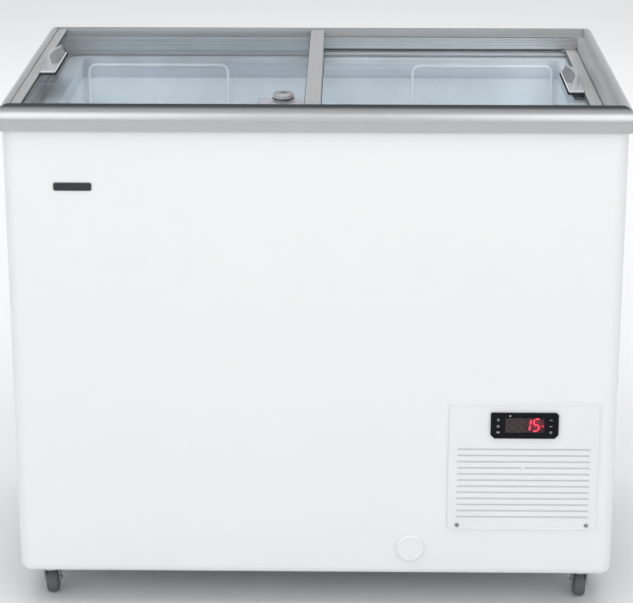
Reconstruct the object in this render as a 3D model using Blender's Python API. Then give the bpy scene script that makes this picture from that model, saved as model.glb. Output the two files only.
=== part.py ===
"""Ice cream dipping cabinet: an insulated chest with two flat sliding glass lids, on four castors.

Metres, +Z up, the front faces -Y, and the origin is on the floor at the middle of the footprint.
Run with: blender --background --python part.py
"""

import math

import bmesh
import bpy
from mathutils import Matrix, Vector

# ---------------------------------------------------------------- driving dimensions

GAP = 0.0003                 # clearance between pieces that touch
OVER = 0.01                  # how far a cutter stands past what it cuts

HALF_X = 0.515               # outer face of the rim, half the width
HALF_Y = 0.330               # outer face of the rim, half the depth
RIM_TOP = 0.888              # top of the rim above the floor
BASE_Z = 0.065               # underside of the body, which is the height of a castor

SHEET = 0.0012               # outer steel
SHELL_INSET = 0.008          # how far the rim stands proud of the body
SHELL_CORNER = 0.022         # vertical corners of the body
SHELL_FOOT_RADIUS = 0.013    # rolled lower edge
SHELL_FLANGE = 0.012         # return flange under the body

RIM_CORNER = 0.006           # vertical corners of the rim
RIM_BAND = 0.0215            # flat band at the foot of the rim
RIM_NOSE_HIGH = 0.0205       # rounded nose above the band
RIM_NOSE_DEEP = 0.0195
RIM_LAND = 0.021             # inset of the rim's inner edge
RIM_SHELF_UP_DEPTH = 0.015   # shelf that carries the upper lid
RIM_STEP = 0.033             # inset of the wall under the upper shelf
RIM_SHELF_LOW_DEPTH = 0.0488  # shelf that carries the lower lid
RIM_FOOT_INSET = 0.045
RIM_FOOT_DEPTH = 0.052
RIM_EDGE = 0.0006            # tiny chamfer at the inner edge of the land
RIM_SLOT_DEPTH = 0.0295      # top of the slot that takes the steel
MITRE_SHIFT = 0.00025

LINER_INSET = 0.070          # outer face of the liner
LINER_WALL = 0.0015
COLLAR_CORNER = 0.006        # corners of the collar beyond the liner's inner face
LINER_FLOOR = 0.075          # liner floor above the body's underside
STEP_X = 0.150               # face of the step over the machine compartment
STEP_FLOOR = 0.390           # top of the step above the body's underside
BEAD_RADIUS = 0.002
BEAD_PROUD = 0.0006
BEAD_START_X = 0.172         # inner leg of each bead
BEAD_WALL_MARGIN = 0.0115    # outer leg from the side wall
BEAD_TOP_DEPTH = 0.060
BEAD_ABOVE_STEP = 0.103      # foot of a bead above the step
BEAD_CORNER = 0.014
COLLAR_LIP = 0.0018
COLLAR_DROP = 0.0565

BAY_X = 0.2135               # wall of the machine compartment
BAY_TOP = 0.325              # its ceiling above the body's underside
BAY_RIGHT = 0.5035
PAN_INSET = 0.025            # of the floor plates, from the rim's outer face
PAN_THICK = 0.0018

GLASS = 0.005
UPPER_GLASS_DEPTH = 0.006    # top of the glass below the rim's top
LOWER_GLASS_DEPTH = 0.040
FRAME_PROUD = 0.0025         # a lid frame above its glass
UPPER_FRAME_WIDE = 0.016
LOWER_FRAME_WIDE = 0.0205
UPPER_END_GAP = 0.0008       # between a lid's end and the rim
LOWER_END_GAP = 0.0015
LID_SIDE_GAP = 0.0015
GLASS_GRIP = 0.010           # how far a frame holds the glass
MEET_X = -0.005              # middle of the meeting bars
MEET_WIDE = 0.0245
SKIRT_THICK = 0.003
SKIRT_CLEAR = 0.0015

HANDLE_WIDE = 0.026
HANDLE_LONG = 0.157
HANDLE_HIGH = 0.0246
HANDLE_REAR_HIGH = 0.019
HANDLE_LIP = 0.0045
HANDLE_PAD = 0.0015
HANDLE_FRAME_GAP = 0.0015    # between a handle and its lid's end frame
HANDLE_RISE = 0.34           # share of its length over which a handle rises
HANDLE_RIDGE_POWER = 2.4     # curve of the scoop below the ridge
HANDLE_BACK_POWER = 1.6
HANDLE_BACK_DROP = 0.35      # fall behind the ridge, as a share of its height
UPPER_HANDLE_Y = 0.004       # middles of the handles
LOWER_HANDLE_Y = 0.015

LOCK_X = -0.053
LOCK_Y = -0.243
LOCK_RADIUS = 0.017
LOCK_HIGH = 0.0095
LOCK_NECK = 0.010
LOCK_BORE = 0.0063
LOCK_NUT = 0.005
LOCK_NUT_PROUD = 0.004
LOCK_EDGE = 0.0025
CAM_THICK = 0.0015
CAM_REACH = 0.018
CAM_HALF = 0.004
KEYWAY_HALF = (0.0035, 0.0006)
KEYWAY_DEEP = 0.004

PANEL_X = (0.224, 0.477)
PANEL_Z = (0.087, 0.316)     # above the body's underside
PANEL_THICK = 0.0024
PANEL_CORNER = 0.005
PANEL_MARGIN = 0.013         # of the steel left behind the panel's edge
SLOT_X = (0.241, 0.461)
SLOT_Z = 0.110
SLOT_PITCH = 0.0112
SLOT_HIGH = 0.003
SLOT_COUNT = 12
SCREW_X = (0.241, 0.460)
SCREW_Z = 0.095
SCREW_HEAD = 0.0038
SCREW_SHANK = 0.0021
SCREW_HEAD_HIGH = 0.0021
SCREW_REACH = 0.004          # of the shank behind the steel
CROSS_LONG = 0.0016          # half the length and width of the cross in the head
CROSS_WIDE = 0.00045
CROSS_DEEP = 0.0011

CONTROL_X = (0.294, 0.4075)
CONTROL_Z = (0.2545, 0.300)
CONTROL_BEZEL = 0.0033
CONTROL_CORNER = 0.0065
CONTROL_BODY_INSET = 0.004
CONTROL_BODY_DEEP = 0.050
WINDOW_X = (0.318, 0.384)
WINDOW_Z = (0.2645, 0.2915)
WINDOW_DEEP = 0.0014
KEY_X = (0.3065, 0.3945)
KEY_Z = (0.288, 0.277, 0.266)
KEY_SIZE = (0.0085, 0.0065)
KEY_TRAVEL = 0.0006
KEY_POCKET = 0.0022

DRAIN_X = 0.162
DRAIN_Z = 0.051              # above the body's underside
DRAIN_CAP_RADIUS = 0.0235
DRAIN_CAP_THICK = 0.0062
DRAIN_PIPE_RADIUS = 0.011
DRAIN_PIPE_BORE = 0.0085
DRAIN_INLET_Y = -0.200
DRAIN_SPIGOT = 0.014

CASTOR_INSET = 0.056         # of a castor's swivel axis, from the rim's outer face
CASTOR_PLATE = 0.060
CASTOR_PLATE_THICK = 0.003
CASTOR_PLATE_CORNER = 0.006
WHEEL_RADIUS = 0.025
WHEEL_WIDE = 0.020
WHEEL_EDGE = 0.004
AXLE_RADIUS = 0.004
CASTOR_TRAIL = 0.016
FORK_LEG = 0.0025
FORK_CROWN = 0.019
FORK_CROWN_HIGH = 0.009
LEG_TOP = (-0.010, 0.012)    # ends of a leg's top edge, from the swivel axis
LEG_UNDER_CROWN = 0.0015     # how far a leg starts inside the crown
LEG_EYE = 0.009
LEG_CLEAR = 0.0010
AXLE_PROUD = 0.0015

UNIT_X = 0.360               # middle of the fan and the condenser
FAN_Z = 0.122
CONDENSER_Y = (-0.305, -0.262)
CONDENSER_HALF = 0.112
CONDENSER_HIGH = 0.232
FIN_BACK = 0.012             # solid back that the fins stand on
FIN_COUNT = 28
SHROUD_Y = -0.248
SHROUD_THICK = 0.002
SHROUD_HOLE = 0.094
FAN_RADIUS = 0.088
FAN_HUB = 0.021
FAN_HUB_LONG = 0.020
FAN_BLADES = 5
FAN_SHAFT = 0.003
FAN_AHEAD = 0.004            # of the hub's front, from the shroud
BLADE_CHORD = (0.024, 0.054)  # at the root and at the tip
BLADE_PITCH = (38.0, 22.0)   # degrees
BLADE_FLATTEN = 0.55
BLADE_HALF_THICK = 0.0009
BLADE_ROOT = 0.003           # how far a blade starts inside the hub
MOTOR_RADIUS = 0.029
MOTOR_LONG = 0.046
MOTOR_EDGE = 0.003
MOTOR_CLEAR = 0.003          # between the hub and the motor
MOTOR_SHAFT_OUT = 0.002      # of the shaft, behind the hub's front
MOTOR_POST_HALF = (0.012, 0.003)
COMPRESSOR_AT = (0.372, 0.095)
COMPRESSOR_RADIUS = 0.082
COMPRESSOR_HIGH = 0.185
COMPRESSOR_LIFT = 0.014      # of the can above the tray
COMPRESSOR_BOWL = 0.040
COMPRESSOR_DOME = 0.060
SEAM_PROUD = 0.003
SEAM_DEPTHS = (0.085, 0.083, 0.078, 0.076)   # below the top of the can
FOOT_PLATE_HALF = 0.075
FOOT_PLATE_LIFT = 0.004
FOOT_PLATE_THICK = 0.003
FOOT_AT = 0.062
FOOT_RADIUS = 0.009
RELAY_DEEP = 0.030
RELAY_HALF_WIDE = 0.026
RELAY_MARGINS = (0.045, 0.055)   # below and above, from the ends of the can
FILTER_AT = (-0.060, 0.110)  # Y, and height above the body's underside
FILTER_RADIUS = 0.009
FILTER_LONG = 0.100
FILTER_END = 0.012
PIPE_RADIUS = 0.003
PIPE_TURN = -52.0            # degrees, where the pipe leaves the compressor
PIPE_START = 0.095           # levels above the tray
PIPE_LEVEL = 0.200
PIPE_LANE = 0.013            # beside the condenser
PIPE_TOUCH = 0.0005          # between the pipe's ends and what they meet
REAR_SLOT_X = (0.255, 0.470)
REAR_SLOT_Z = 0.080
REAR_SLOT_COUNT = 12
REAR_SLOT_PITCH = 0.016
REAR_SLOT_HIGH = 0.0035
GLAND_X = 0.420
GLAND_Z = 0.045
GLAND_RADIUS = 0.0085
GLAND_BORE = 0.0045
GLAND_FLANGE = 0.004         # how far its nut and its collar stand past the sleeve
GLAND_NUT_LONG = 0.008
GLAND_COLLAR_LONG = 0.004
GLAND_OUT = 0.0072

# ---------------------------------------------------------------- worked-out places

PROFILE_CORNER = SHELL_CORNER + SHELL_INSET   # body corner as an inset outline of the rim
BODY_FRONT = -(HALF_Y - SHELL_INSET)
BODY_REAR = -BODY_FRONT
UPPER_LID_HALF_Y = HALF_Y - RIM_LAND - LID_SIDE_GAP
LOWER_LID_HALF_Y = HALF_Y - RIM_STEP - LID_SIDE_GAP
UPPER_END_X = -(HALF_X - RIM_LAND - UPPER_END_GAP)
LOWER_END_X = HALF_X - RIM_STEP - LOWER_END_GAP
MEET_LEFT = MEET_X - MEET_WIDE / 2
MEET_RIGHT = MEET_X + MEET_WIDE / 2
PANEL_BACK = BODY_FRONT - GAP
PANEL_FRONT = PANEL_BACK - PANEL_THICK
BEZEL_BACK = PANEL_FRONT - GAP
BEZEL_FRONT = BEZEL_BACK - CONTROL_BEZEL
PAN_BOTTOM = BASE_Z + SHEET + GAP
PAN_TOP = PAN_BOTTOM + PAN_THICK
UNIT_FLOOR = PAN_TOP + GAP
UPPER_HANDLE_X = UPPER_END_X + UPPER_FRAME_WIDE + HANDLE_FRAME_GAP + HANDLE_WIDE   # inner edges
LOWER_HANDLE_X = LOWER_END_X - LOWER_FRAME_WIDE - HANDLE_FRAME_GAP - HANDLE_WIDE
FOAM_CHAMFER = BASE_Z + SHELL_FOOT_RADIUS + 0.002   # the insulation clears the rolled foot below this
DRAIN_X_INSIDE = STEP_X - 0.035


def below_rim(depth):
    """Height of a level that lies depth under the top of the rim."""
    return RIM_TOP - depth


# ---------------------------------------------------------------- finishes

FINISHES = {
    "white_steel": ((0.86, 0.865, 0.87), 0.32, 0.0),
    "galvanised_steel": ((0.55, 0.57, 0.58), 0.45, 1.0),
    "rim_aluminium": ((0.55, 0.56, 0.57), 0.30, 1.0),
    "lid_frame_plastic": ((0.52, 0.53, 0.54), 0.42, 0.0),
    "lid_glass": ((0.62, 0.72, 0.76), 0.03, 0.0),
    "grey_plastic": ((0.42, 0.43, 0.45), 0.38, 0.0),
    "black_rubber": ((0.015, 0.015, 0.016), 0.70, 0.0),
    "liner_aluminium": ((0.66, 0.73, 0.76), 0.35, 0.0),
    "collar_plastic": ((0.60, 0.64, 0.67), 0.40, 0.0),
    "foam": ((0.78, 0.66, 0.36), 0.95, 0.0),
    "white_plastic": ((0.84, 0.84, 0.85), 0.38, 0.0),
    "black_plastic": ((0.012, 0.012, 0.014), 0.35, 0.0),
    "dark_lens": ((0.020, 0.008, 0.010), 0.08, 0.0),
    "steel": ((0.50, 0.50, 0.51), 0.30, 1.0),
    "black_enamel": ((0.02, 0.02, 0.022), 0.28, 0.0),
    "copper": ((0.72, 0.38, 0.22), 0.28, 1.0),
    "tyre_grey": ((0.10, 0.10, 0.11), 0.65, 0.0),
}


def finish(name, owner):
    """A Principled material of its own for one object."""
    colour, roughness, metallic = FINISHES[name]
    material = bpy.data.materials.new(f"{name}_{owner}")
    material.use_nodes = True
    shader = material.node_tree.nodes["Principled BSDF"]
    shader.inputs["Base Color"].default_value = (*colour, 1.0)
    shader.inputs["Roughness"].default_value = roughness
    shader.inputs["Metallic"].default_value = metallic
    material.diffuse_color = (*colour, 1.0)
    return material


# ---------------------------------------------------------------- mesh helpers


def clear_scene():
    for item in list(bpy.data.objects):
        bpy.data.objects.remove(item, do_unlink=True)


def place(name, mesh, origin=(0.0, 0.0, 0.0), smooth=None):
    """An object whose mesh is given in world coordinates and whose origin is moved to a point."""
    bmesh.ops.remove_doubles(mesh, verts=mesh.verts, dist=1e-6)
    bmesh.ops.recalc_face_normals(mesh, faces=mesh.faces)
    bmesh.ops.translate(mesh, vec=-Vector(origin), verts=mesh.verts)
    data = bpy.data.meshes.new(name)
    mesh.to_mesh(data)
    mesh.free()
    if smooth is not None:
        data.shade_smooth()
        data.set_sharp_from_angle(angle=math.radians(smooth))
    item = bpy.data.objects.new(name, data)
    item.location = origin
    bpy.context.scene.collection.objects.link(item)
    return item


def piece(name, look, mesh, origin=(0.0, 0.0, 0.0), smooth=None):
    """One sub-part of the cabinet."""
    item = place(name, mesh, origin, smooth)
    item.data.materials.append(finish(look, name))
    return item


def guide(name, mesh):
    """A shape that only cuts another one or is joined to it."""
    item = place(name, mesh)
    item.hide_render = True
    item.display_type = "WIRE"
    return item


def combine(item, other, operation):
    change = item.modifiers.new(operation.lower(), "BOOLEAN")
    change.operation = operation
    change.solver = "EXACT"
    change.object = other


def cut(item, *meshes):
    for number, mesh in enumerate(meshes):
        combine(item, guide(f"{item.name}_cut_{len(item.modifiers)}_{number}", mesh), "DIFFERENCE")


def join(item, *meshes):
    for number, mesh in enumerate(meshes):
        combine(item, guide(f"{item.name}_add_{len(item.modifiers)}_{number}", mesh), "UNION")


def soften(item, width, segments=2, angle=40.0):
    """A small round on the sharp edges of a piece."""
    change = item.modifiers.new("soft_edges", "BEVEL")
    change.width = width
    change.segments = segments
    change.limit_method = "ANGLE"
    change.angle_limit = math.radians(angle)


def loft(loops, closed=False):
    """A closed body through loops of points. With closed, the last loop meets the first."""
    mesh = bmesh.new()
    rings = [[mesh.verts.new(point) for point in loop] for loop in loops]
    pairs = list(zip(rings, rings[1:]))
    if closed:
        pairs.append((rings[-1], rings[0]))
    else:
        mesh.faces.new(rings[0])
        mesh.faces.new(rings[-1])
    for one, two in pairs:
        count = len(one)
        for i in range(count):
            j = (i + 1) % count
            mesh.faces.new((one[i], one[j], two[j], two[i]))
    return mesh


def box(low, high):
    (x0, y0, z0), (x1, y1, z1) = low, high
    floor = [(x0, y0), (x1, y0), (x1, y1), (x0, y1)]
    return loft([[(x, y, z) for x, y in floor] for z in (z0, z1)])


def prism_y(outline, y0, y1):
    """An outline of (x, z) points carried along Y."""
    return loft([[(x, y, z) for x, z in outline] for y in (y0, y1)])


def prism_z(outline, z0, z1):
    return loft([[(x, y, z) for x, y in outline] for z in (z0, z1)])


def arc(centre, radii, start, end, segments):
    """Points of an elliptical arc, in degrees, ends included."""
    turns = [math.radians(start + (end - start) * i / segments) for i in range(segments + 1)]
    return [(centre[0] + radii[0] * math.cos(t), centre[1] + radii[1] * math.sin(t)) for t in turns]


def rounded(x0, z0, x1, z1, radius, segments=3):
    """A rectangle with round corners, anticlockwise."""
    corners = ((x1, z0, -90), (x1, z1, 0), (x0, z1, 90), (x0, z0, 180))
    points = []
    for x, z, start in corners:
        cx = x - radius if x == x1 else x + radius
        cz = z - radius if z == z1 else z + radius
        points += arc((cx, cz), (radius, radius), start, start + 90, segments)
    return points


def turned(profile, segments=24, axis="Z", centre=(0.0, 0.0, 0.0)):
    """A round body from (radius, height) points that start and end on its axis."""
    mesh = bmesh.new()
    rings = []
    for radius, height in profile:
        if radius < 1e-7:
            rings.append([mesh.verts.new((0, 0, height))])
            continue
        turns = [2 * math.pi * i / segments for i in range(segments)]
        rings.append([mesh.verts.new((radius * math.cos(t), radius * math.sin(t), height)) for t in turns])
    bridge_rings(mesh, rings, segments)
    turn_and_move(mesh, axis, centre)
    return mesh


def turned_ring(profile, segments=24, axis="Z", centre=(0.0, 0.0, 0.0)):
    """A round body with a hole, from a closed outline of (radius, height) points."""
    mesh = bmesh.new()
    rings = []
    for radius, height in profile + profile[:1]:
        turns = [2 * math.pi * i / segments for i in range(segments)]
        rings.append([mesh.verts.new((radius * math.cos(t), radius * math.sin(t), height)) for t in turns])
    bridge_rings(mesh, rings, segments)
    bmesh.ops.remove_doubles(mesh, verts=mesh.verts, dist=1e-7)
    turn_and_move(mesh, axis, centre)
    return mesh


def bridge_rings(mesh, rings, segments):
    for one, two in zip(rings, rings[1:]):
        for i in range(segments):
            j = (i + 1) % segments
            corners = (one[i % len(one)], one[j % len(one)], two[j % len(two)], two[i % len(two)])
            mesh.faces.new(tuple(dict.fromkeys(corners)))


def turn_and_move(mesh, axis, centre):
    """Stands a body that was made along +Z along another axis, at a centre."""
    turns = {"X": Matrix.Rotation(math.pi / 2, 4, "Y"), "Y": Matrix.Rotation(-math.pi / 2, 4, "X")}
    if axis in turns:
        bmesh.ops.transform(mesh, matrix=turns[axis], verts=mesh.verts)
    bmesh.ops.translate(mesh, vec=Vector(centre), verts=mesh.verts)


def rod(radius, length, axis, start, segments=16):
    return turned([(0, 0), (radius, 0), (radius, length), (0, length)], segments, axis, start)


def rings_along(route, radius, sides):
    """Loops of points round a route, square to it and without twist."""
    points = [Vector(point) for point in route]
    loops = []
    side = None
    for i, point in enumerate(points):
        along = (points[min(i + 1, len(points) - 1)] - points[max(i - 1, 0)]).normalized()
        guess = side if side is not None else along.orthogonal()
        side = (guess - along * guess.dot(along)).normalized()
        other = along.cross(side)
        turns = [2 * math.pi * k / sides for k in range(sides)]
        loops.append([point + (side * math.cos(t) + other * math.sin(t)) * radius for t in turns])
    return loops


def smooth_route(points, steps=4):
    """A rounded route through a few points."""
    knots = [Vector(point) for point in points]
    padded = [2 * knots[0] - knots[1]] + knots + [2 * knots[-1] - knots[-2]]
    route = []
    for a, b, c, d in zip(padded, padded[1:], padded[2:], padded[3:]):
        for i in range(steps):
            t = i / steps
            route.append(0.5 * (2 * b + (c - a) * t + (2 * a - 5 * b + 4 * c - d) * t * t
                                + (3 * b - a - 3 * c + d) * t ** 3))
    return route + [knots[-1]]


# ---------------------------------------------------------------- plan outlines of the cabinet


def corner_station(sign_x, sign_y, angle, radius, shift=(0.0, 0.0)):
    """A place round the cabinet's plan, as a rule from inset to (x, y)."""
    turn = math.radians(angle)

    def spot(inset):
        centre = max(radius, inset)
        left = max(radius - inset, 0.0)
        x = sign_x * (HALF_X - centre) + left * math.cos(turn) + shift[0]
        y = sign_y * (HALF_Y - centre) + left * math.sin(turn) + shift[1]
        return x, y

    return spot


def end_station(sign_x, y):
    return lambda inset: (sign_x * (HALF_X - inset), y)


CORNERS = ((-1, -1, 180), (1, -1, 270), (1, 1, 0), (-1, 1, 90))


def corner_run(index, radius, start=0, end=90, segments=4, shift=(0.0, 0.0)):
    """Stations round one corner. Corner 0 is front left, and they follow anticlockwise."""
    sign_x, sign_y, base = CORNERS[index % 4]
    turns = [base + start + (end - start) * i / segments for i in range(segments + 1)]
    return [corner_station(sign_x, sign_y, turn, radius, shift) for turn in turns]


def all_round(radius, segments=4):
    return [spot for index in range(4) for spot in corner_run(index, radius, segments=segments)]


def sweep(profile, stations, closed=False):
    """Carries an outline of (inset, height) points past the stations."""
    loops = [[(*spot(inset), height) for inset, height in profile] for spot in stations]
    return loft(loops, closed)


# ---------------------------------------------------------------- body


def sheet_profile():
    """Section of the steel wrap, with its rolled foot and its return flange."""
    foot = SHELL_FOOT_RADIUS
    outer, top = SHELL_INSET, below_rim(RIM_SLOT_DEPTH) - GAP
    inner = outer + SHEET
    centre = (outer + foot, BASE_Z + foot)
    tip = outer + foot + SHELL_FLANGE
    outside = arc(centre, (foot, foot), 180, 270, 4)
    inside = arc(centre, (foot - SHEET, foot - SHEET), 270, 180, 4)
    return [(outer, top)] + outside + [(tip, BASE_Z), (tip, BASE_Z + SHEET)] + inside + [(inner, top)]


def grille_hole(margin):
    low = (PANEL_X[0] + margin, BODY_FRONT - OVER, BASE_Z + PANEL_Z[0] + margin + SCREW_HEAD * 2)
    high = (PANEL_X[1] - margin, BODY_FRONT + OVER, BASE_Z + PANEL_Z[1] - margin)
    return box(low, high)


def build_shell():
    rear_end = BODY_REAR - SHEET - GAP
    run = [end_station(-1, rear_end)]
    run += corner_run(0, PROFILE_CORNER, segments=6)
    run += corner_run(1, PROFILE_CORNER, segments=6)
    run += [end_station(1, rear_end)]
    shell = piece("outer_shell", "white_steel", sweep(sheet_profile(), run), smooth=35)
    drain = rod(DRAIN_PIPE_RADIUS + GAP, 2 * OVER, "Y", (DRAIN_X, BODY_FRONT - OVER, BASE_Z + DRAIN_Z))
    holes = [screw_hole(x) for x in SCREW_X]
    cut(shell, grille_hole(PANEL_MARGIN), drain, *holes)


def screw_hole(x):
    return rod(SCREW_SHANK + GAP, 2 * OVER, "Y", (x, BODY_FRONT - OVER, BASE_Z + SCREW_Z), 12)


def build_rear_panel():
    half = HALF_X - SHELL_INSET
    low = (-half, BODY_REAR - SHEET, BASE_Z)
    high = (half, BODY_REAR, below_rim(RIM_SLOT_DEPTH) - GAP)
    panel = piece("rear_panel", "galvanised_steel", box(low, high))
    slots = bmesh.new()
    for i in range(REAR_SLOT_COUNT):
        z = BASE_Z + REAR_SLOT_Z + i * REAR_SLOT_PITCH
        low, high = (REAR_SLOT_X[0], BODY_REAR - OVER, z), (REAR_SLOT_X[1], BODY_REAR + OVER, z + REAR_SLOT_HIGH)
        add(slots, box(low, high))
    gland = rod(GLAND_RADIUS + GAP, 2 * OVER, "Y", (GLAND_X, BODY_REAR - OVER, BASE_Z + GLAND_Z))
    cut(panel, slots, gland)


def add(mesh, other):
    """Adds one mesh's faces to another's."""
    data = bpy.data.meshes.new("carried")
    other.to_mesh(data)
    other.free()
    mesh.from_mesh(data)
    bpy.data.meshes.remove(data)


def build_floor_plates():
    """The pan under the insulation, and the tray that carries the machinery."""
    front, rear = -(HALF_Y - PAN_INSET), HALF_Y - PAN_INSET
    pan = box((-(HALF_X - PAN_INSET), front, PAN_BOTTOM), (BAY_X - GAP, rear, PAN_TOP))
    piece("base_pan", "galvanised_steel", pan)
    tray = box((BAY_X, front, PAN_BOTTOM), (HALF_X - PAN_INSET, rear, PAN_TOP))
    piece("compressor_tray", "galvanised_steel", tray)


def build_bay_lining():
    """Folded sheet between the insulation and the machine compartment."""
    low, top = FOAM_CHAMFER, BASE_Z + BAY_TOP
    outline = [(BAY_X, low), (BAY_X + SHEET, low), (BAY_X + SHEET, top - SHEET),
               (BAY_RIGHT, top - SHEET), (BAY_RIGHT, top), (BAY_X, top)]
    half = HALF_Y - PROFILE_CORNER
    piece("compartment_lining", "galvanised_steel", prism_y(outline, -half, half))


def stepped_line(grow, top):
    """Section of the chest's inside, open at the top and grown outwards. It is shallow over the machinery."""
    half_x = HALF_X - LINER_INSET - LINER_WALL + grow
    floor, step = BASE_Z + LINER_FLOOR - grow, BASE_Z + STEP_FLOOR - grow
    riser = STEP_X + grow
    return [(-half_x, top), (-half_x, floor), (riser, floor), (riser, step), (half_x, step), (half_x, top)]


def liner_half_y():
    return HALF_Y - LINER_INSET - LINER_WALL


def stepped_block(grow, top):
    half_y = liner_half_y() + grow
    return prism_y(stepped_line(grow, top), -half_y, half_y)


def liner_top():
    return below_rim(RIM_FOOT_DEPTH) - GAP


def build_foam():
    foot = SHELL_FOOT_RADIUS
    skin = SHELL_INSET + SHEET + GAP
    lower = PAN_TOP + GAP
    run = [(skin + foot, lower), (skin, FOAM_CHAMFER), (skin, liner_top())]
    loops = [[(*spot(inset), height) for spot in all_round(PROFILE_CORNER)] for inset, height in run]
    foam = piece("foam_insulation", "foam", loft(loops))
    bay = box((BAY_X - GAP, -HALF_Y, BASE_Z - OVER), (HALF_X, HALF_Y, BASE_Z + BAY_TOP + GAP))
    cavity = stepped_block(LINER_WALL + GAP, RIM_TOP)
    cut(foam, bay, cavity, drain_route_body(DRAIN_PIPE_RADIUS + GAP, OVER))


def bead_body(side):
    """A rounded bead pressed into the rear panel of the liner."""
    outer_x = HALF_X - LINER_INSET - LINER_WALL - BEAD_WALL_MARGIN
    foot = BASE_Z + STEP_FLOOR + BEAD_ABOVE_STEP
    outline = rounded(BEAD_START_X, foot, outer_x, below_rim(BEAD_TOP_DEPTH), BEAD_CORNER)
    y = liner_half_y() - BEAD_PROUD
    route = [Vector((side * x, y, z)) for x, z in outline]
    loops = []
    for i, point in enumerate(route):
        along = (route[(i + 1) % len(route)] - route[i - 1]).normalized()
        out = along.cross(Vector((0, 1, 0)))
        turns = [math.pi * k / 4 for k in range(8)]
        loops.append([point + (out * math.cos(t) + Vector((0, 1, 0)) * math.sin(t) * 0.7) * BEAD_RADIUS
                      for t in turns])
    mesh = loft(loops, closed=True)
    bmesh.ops.recalc_face_normals(mesh, faces=mesh.faces)
    return mesh


def build_liner():
    """One sheet folded over the floor and the step, closed by a stepped panel at the front and at the rear."""
    inner_y, outer_y = liner_half_y(), liner_half_y() + LINER_WALL
    outline = stepped_line(LINER_WALL, liner_top())
    band = outline + stepped_line(0.0, liner_top())[::-1]
    sheet = piece("liner_band", "liner_aluminium", prism_y(band, GAP - inner_y, inner_y - GAP))
    inlet = rod(DRAIN_PIPE_BORE, 2 * OVER, "Z", (DRAIN_X_INSIDE, DRAIN_INLET_Y, BASE_Z + LINER_FLOOR - OVER))
    cut(sheet, inlet)
    piece("liner_front", "liner_aluminium", prism_y(outline, -outer_y, -inner_y))
    rear = piece("liner_rear", "liner_aluminium", prism_y(outline, inner_y, outer_y))
    join(rear, bead_body(-1), bead_body(1))


def build_collar():
    """Plastic frame that closes the top of the insulation and hides the liner's edge."""
    outer = RIM_FOOT_INSET + GAP
    inner_face = LINER_INSET + LINER_WALL
    top = below_rim(RIM_SHELF_LOW_DEPTH) - GAP
    low = liner_top() + GAP
    lip = inner_face + GAP
    profile = [(outer, top), (outer, low), (lip, low), (lip, below_rim(COLLAR_DROP)),
               (lip + COLLAR_LIP, below_rim(COLLAR_DROP)), (lip + COLLAR_LIP, top)]
    ring = sweep(profile, all_round(inner_face + COLLAR_CORNER, 3), closed=True)
    piece("throat_collar", "collar_plastic", ring, smooth=35)


# ---------------------------------------------------------------- rim


def rim_profile():
    """Section of the rim before its underside is cut: nose, land and the two shelves."""
    nose = arc((RIM_NOSE_DEEP, below_rim(RIM_NOSE_HIGH)), (RIM_NOSE_DEEP, RIM_NOSE_HIGH), 180, 90, 7)
    foot = below_rim(RIM_FOOT_DEPTH)
    up, low = below_rim(RIM_SHELF_UP_DEPTH), below_rim(RIM_SHELF_LOW_DEPTH)
    land = [(RIM_LAND, RIM_TOP - RIM_EDGE), (RIM_LAND, up), (RIM_STEP, up), (RIM_STEP, low)]
    return [(0.0, foot)] + nose + land + [(RIM_FOOT_INSET, low), (RIM_FOOT_INSET, foot)]


def rim_underside():
    """What is cut from under the rim: the slot for the steel, and all outside it below the band."""
    band_foot = below_rim(RIM_NOSE_HIGH + RIM_BAND)
    slot_top, low = below_rim(RIM_SLOT_DEPTH), below_rim(RIM_FOOT_DEPTH) - OVER
    slot_out, slot_in = SHELL_INSET - GAP, SHELL_INSET + SHEET + GAP
    profile = [(slot_in, slot_top), (slot_out, slot_top), (slot_out, band_foot), (-OVER, band_foot),
               (-OVER, low), (slot_in, low)]
    run = corner_run(0, PROFILE_CORNER, segments=6) + corner_run(1, PROFILE_CORNER, segments=6)
    run += [corner_station(1, 1, 45, 0.0), corner_station(-1, 1, 135, 0.0)]
    return sweep(profile, run, closed=True)


def build_rim():
    names = ("rim_rail_front", "rim_rail_right", "rim_rail_rear", "rim_rail_left")
    inward = ((1, 0), (0, 1), (-1, 0), (0, -1))
    underside = guide("rim_underside", rim_underside())
    for index, name in enumerate(names):
        along = [component * MITRE_SHIFT for component in inward[index]]
        back = [-component for component in along]
        run = corner_run(index, RIM_CORNER, 45, 90, 3, along)
        run += corner_run(index + 1, RIM_CORNER, 0, 45, 3, back)
        rail = piece(name, "rim_aluminium", sweep(rim_profile(), run), smooth=30)
        combine(rail, underside, "DIFFERENCE")


# ---------------------------------------------------------------- lids


def channel(outer, inner, top, bottom, glass_top):
    """Section of a lid frame that grips the glass. outer is the closed side, inner the open one."""
    slot_top, slot_low = glass_top + GAP, glass_top - GLASS - GAP
    depth = inner + math.copysign(GLASS_GRIP, outer - inner)
    return [(outer, bottom), (inner, bottom), (inner, slot_low), (depth, slot_low),
            (depth, slot_top), (inner, slot_top), (inner, top), (outer, top)]


def lid_levels(glass_depth, shelf_depth):
    glass_top = below_rim(glass_depth)
    return glass_top, glass_top + FRAME_PROUD, below_rim(shelf_depth) + GAP


def glass_edge(outer, inner):
    """How far the glass reaches inside a frame."""
    return inner + math.copysign(GLASS_GRIP - GAP, outer - inner)


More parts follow.
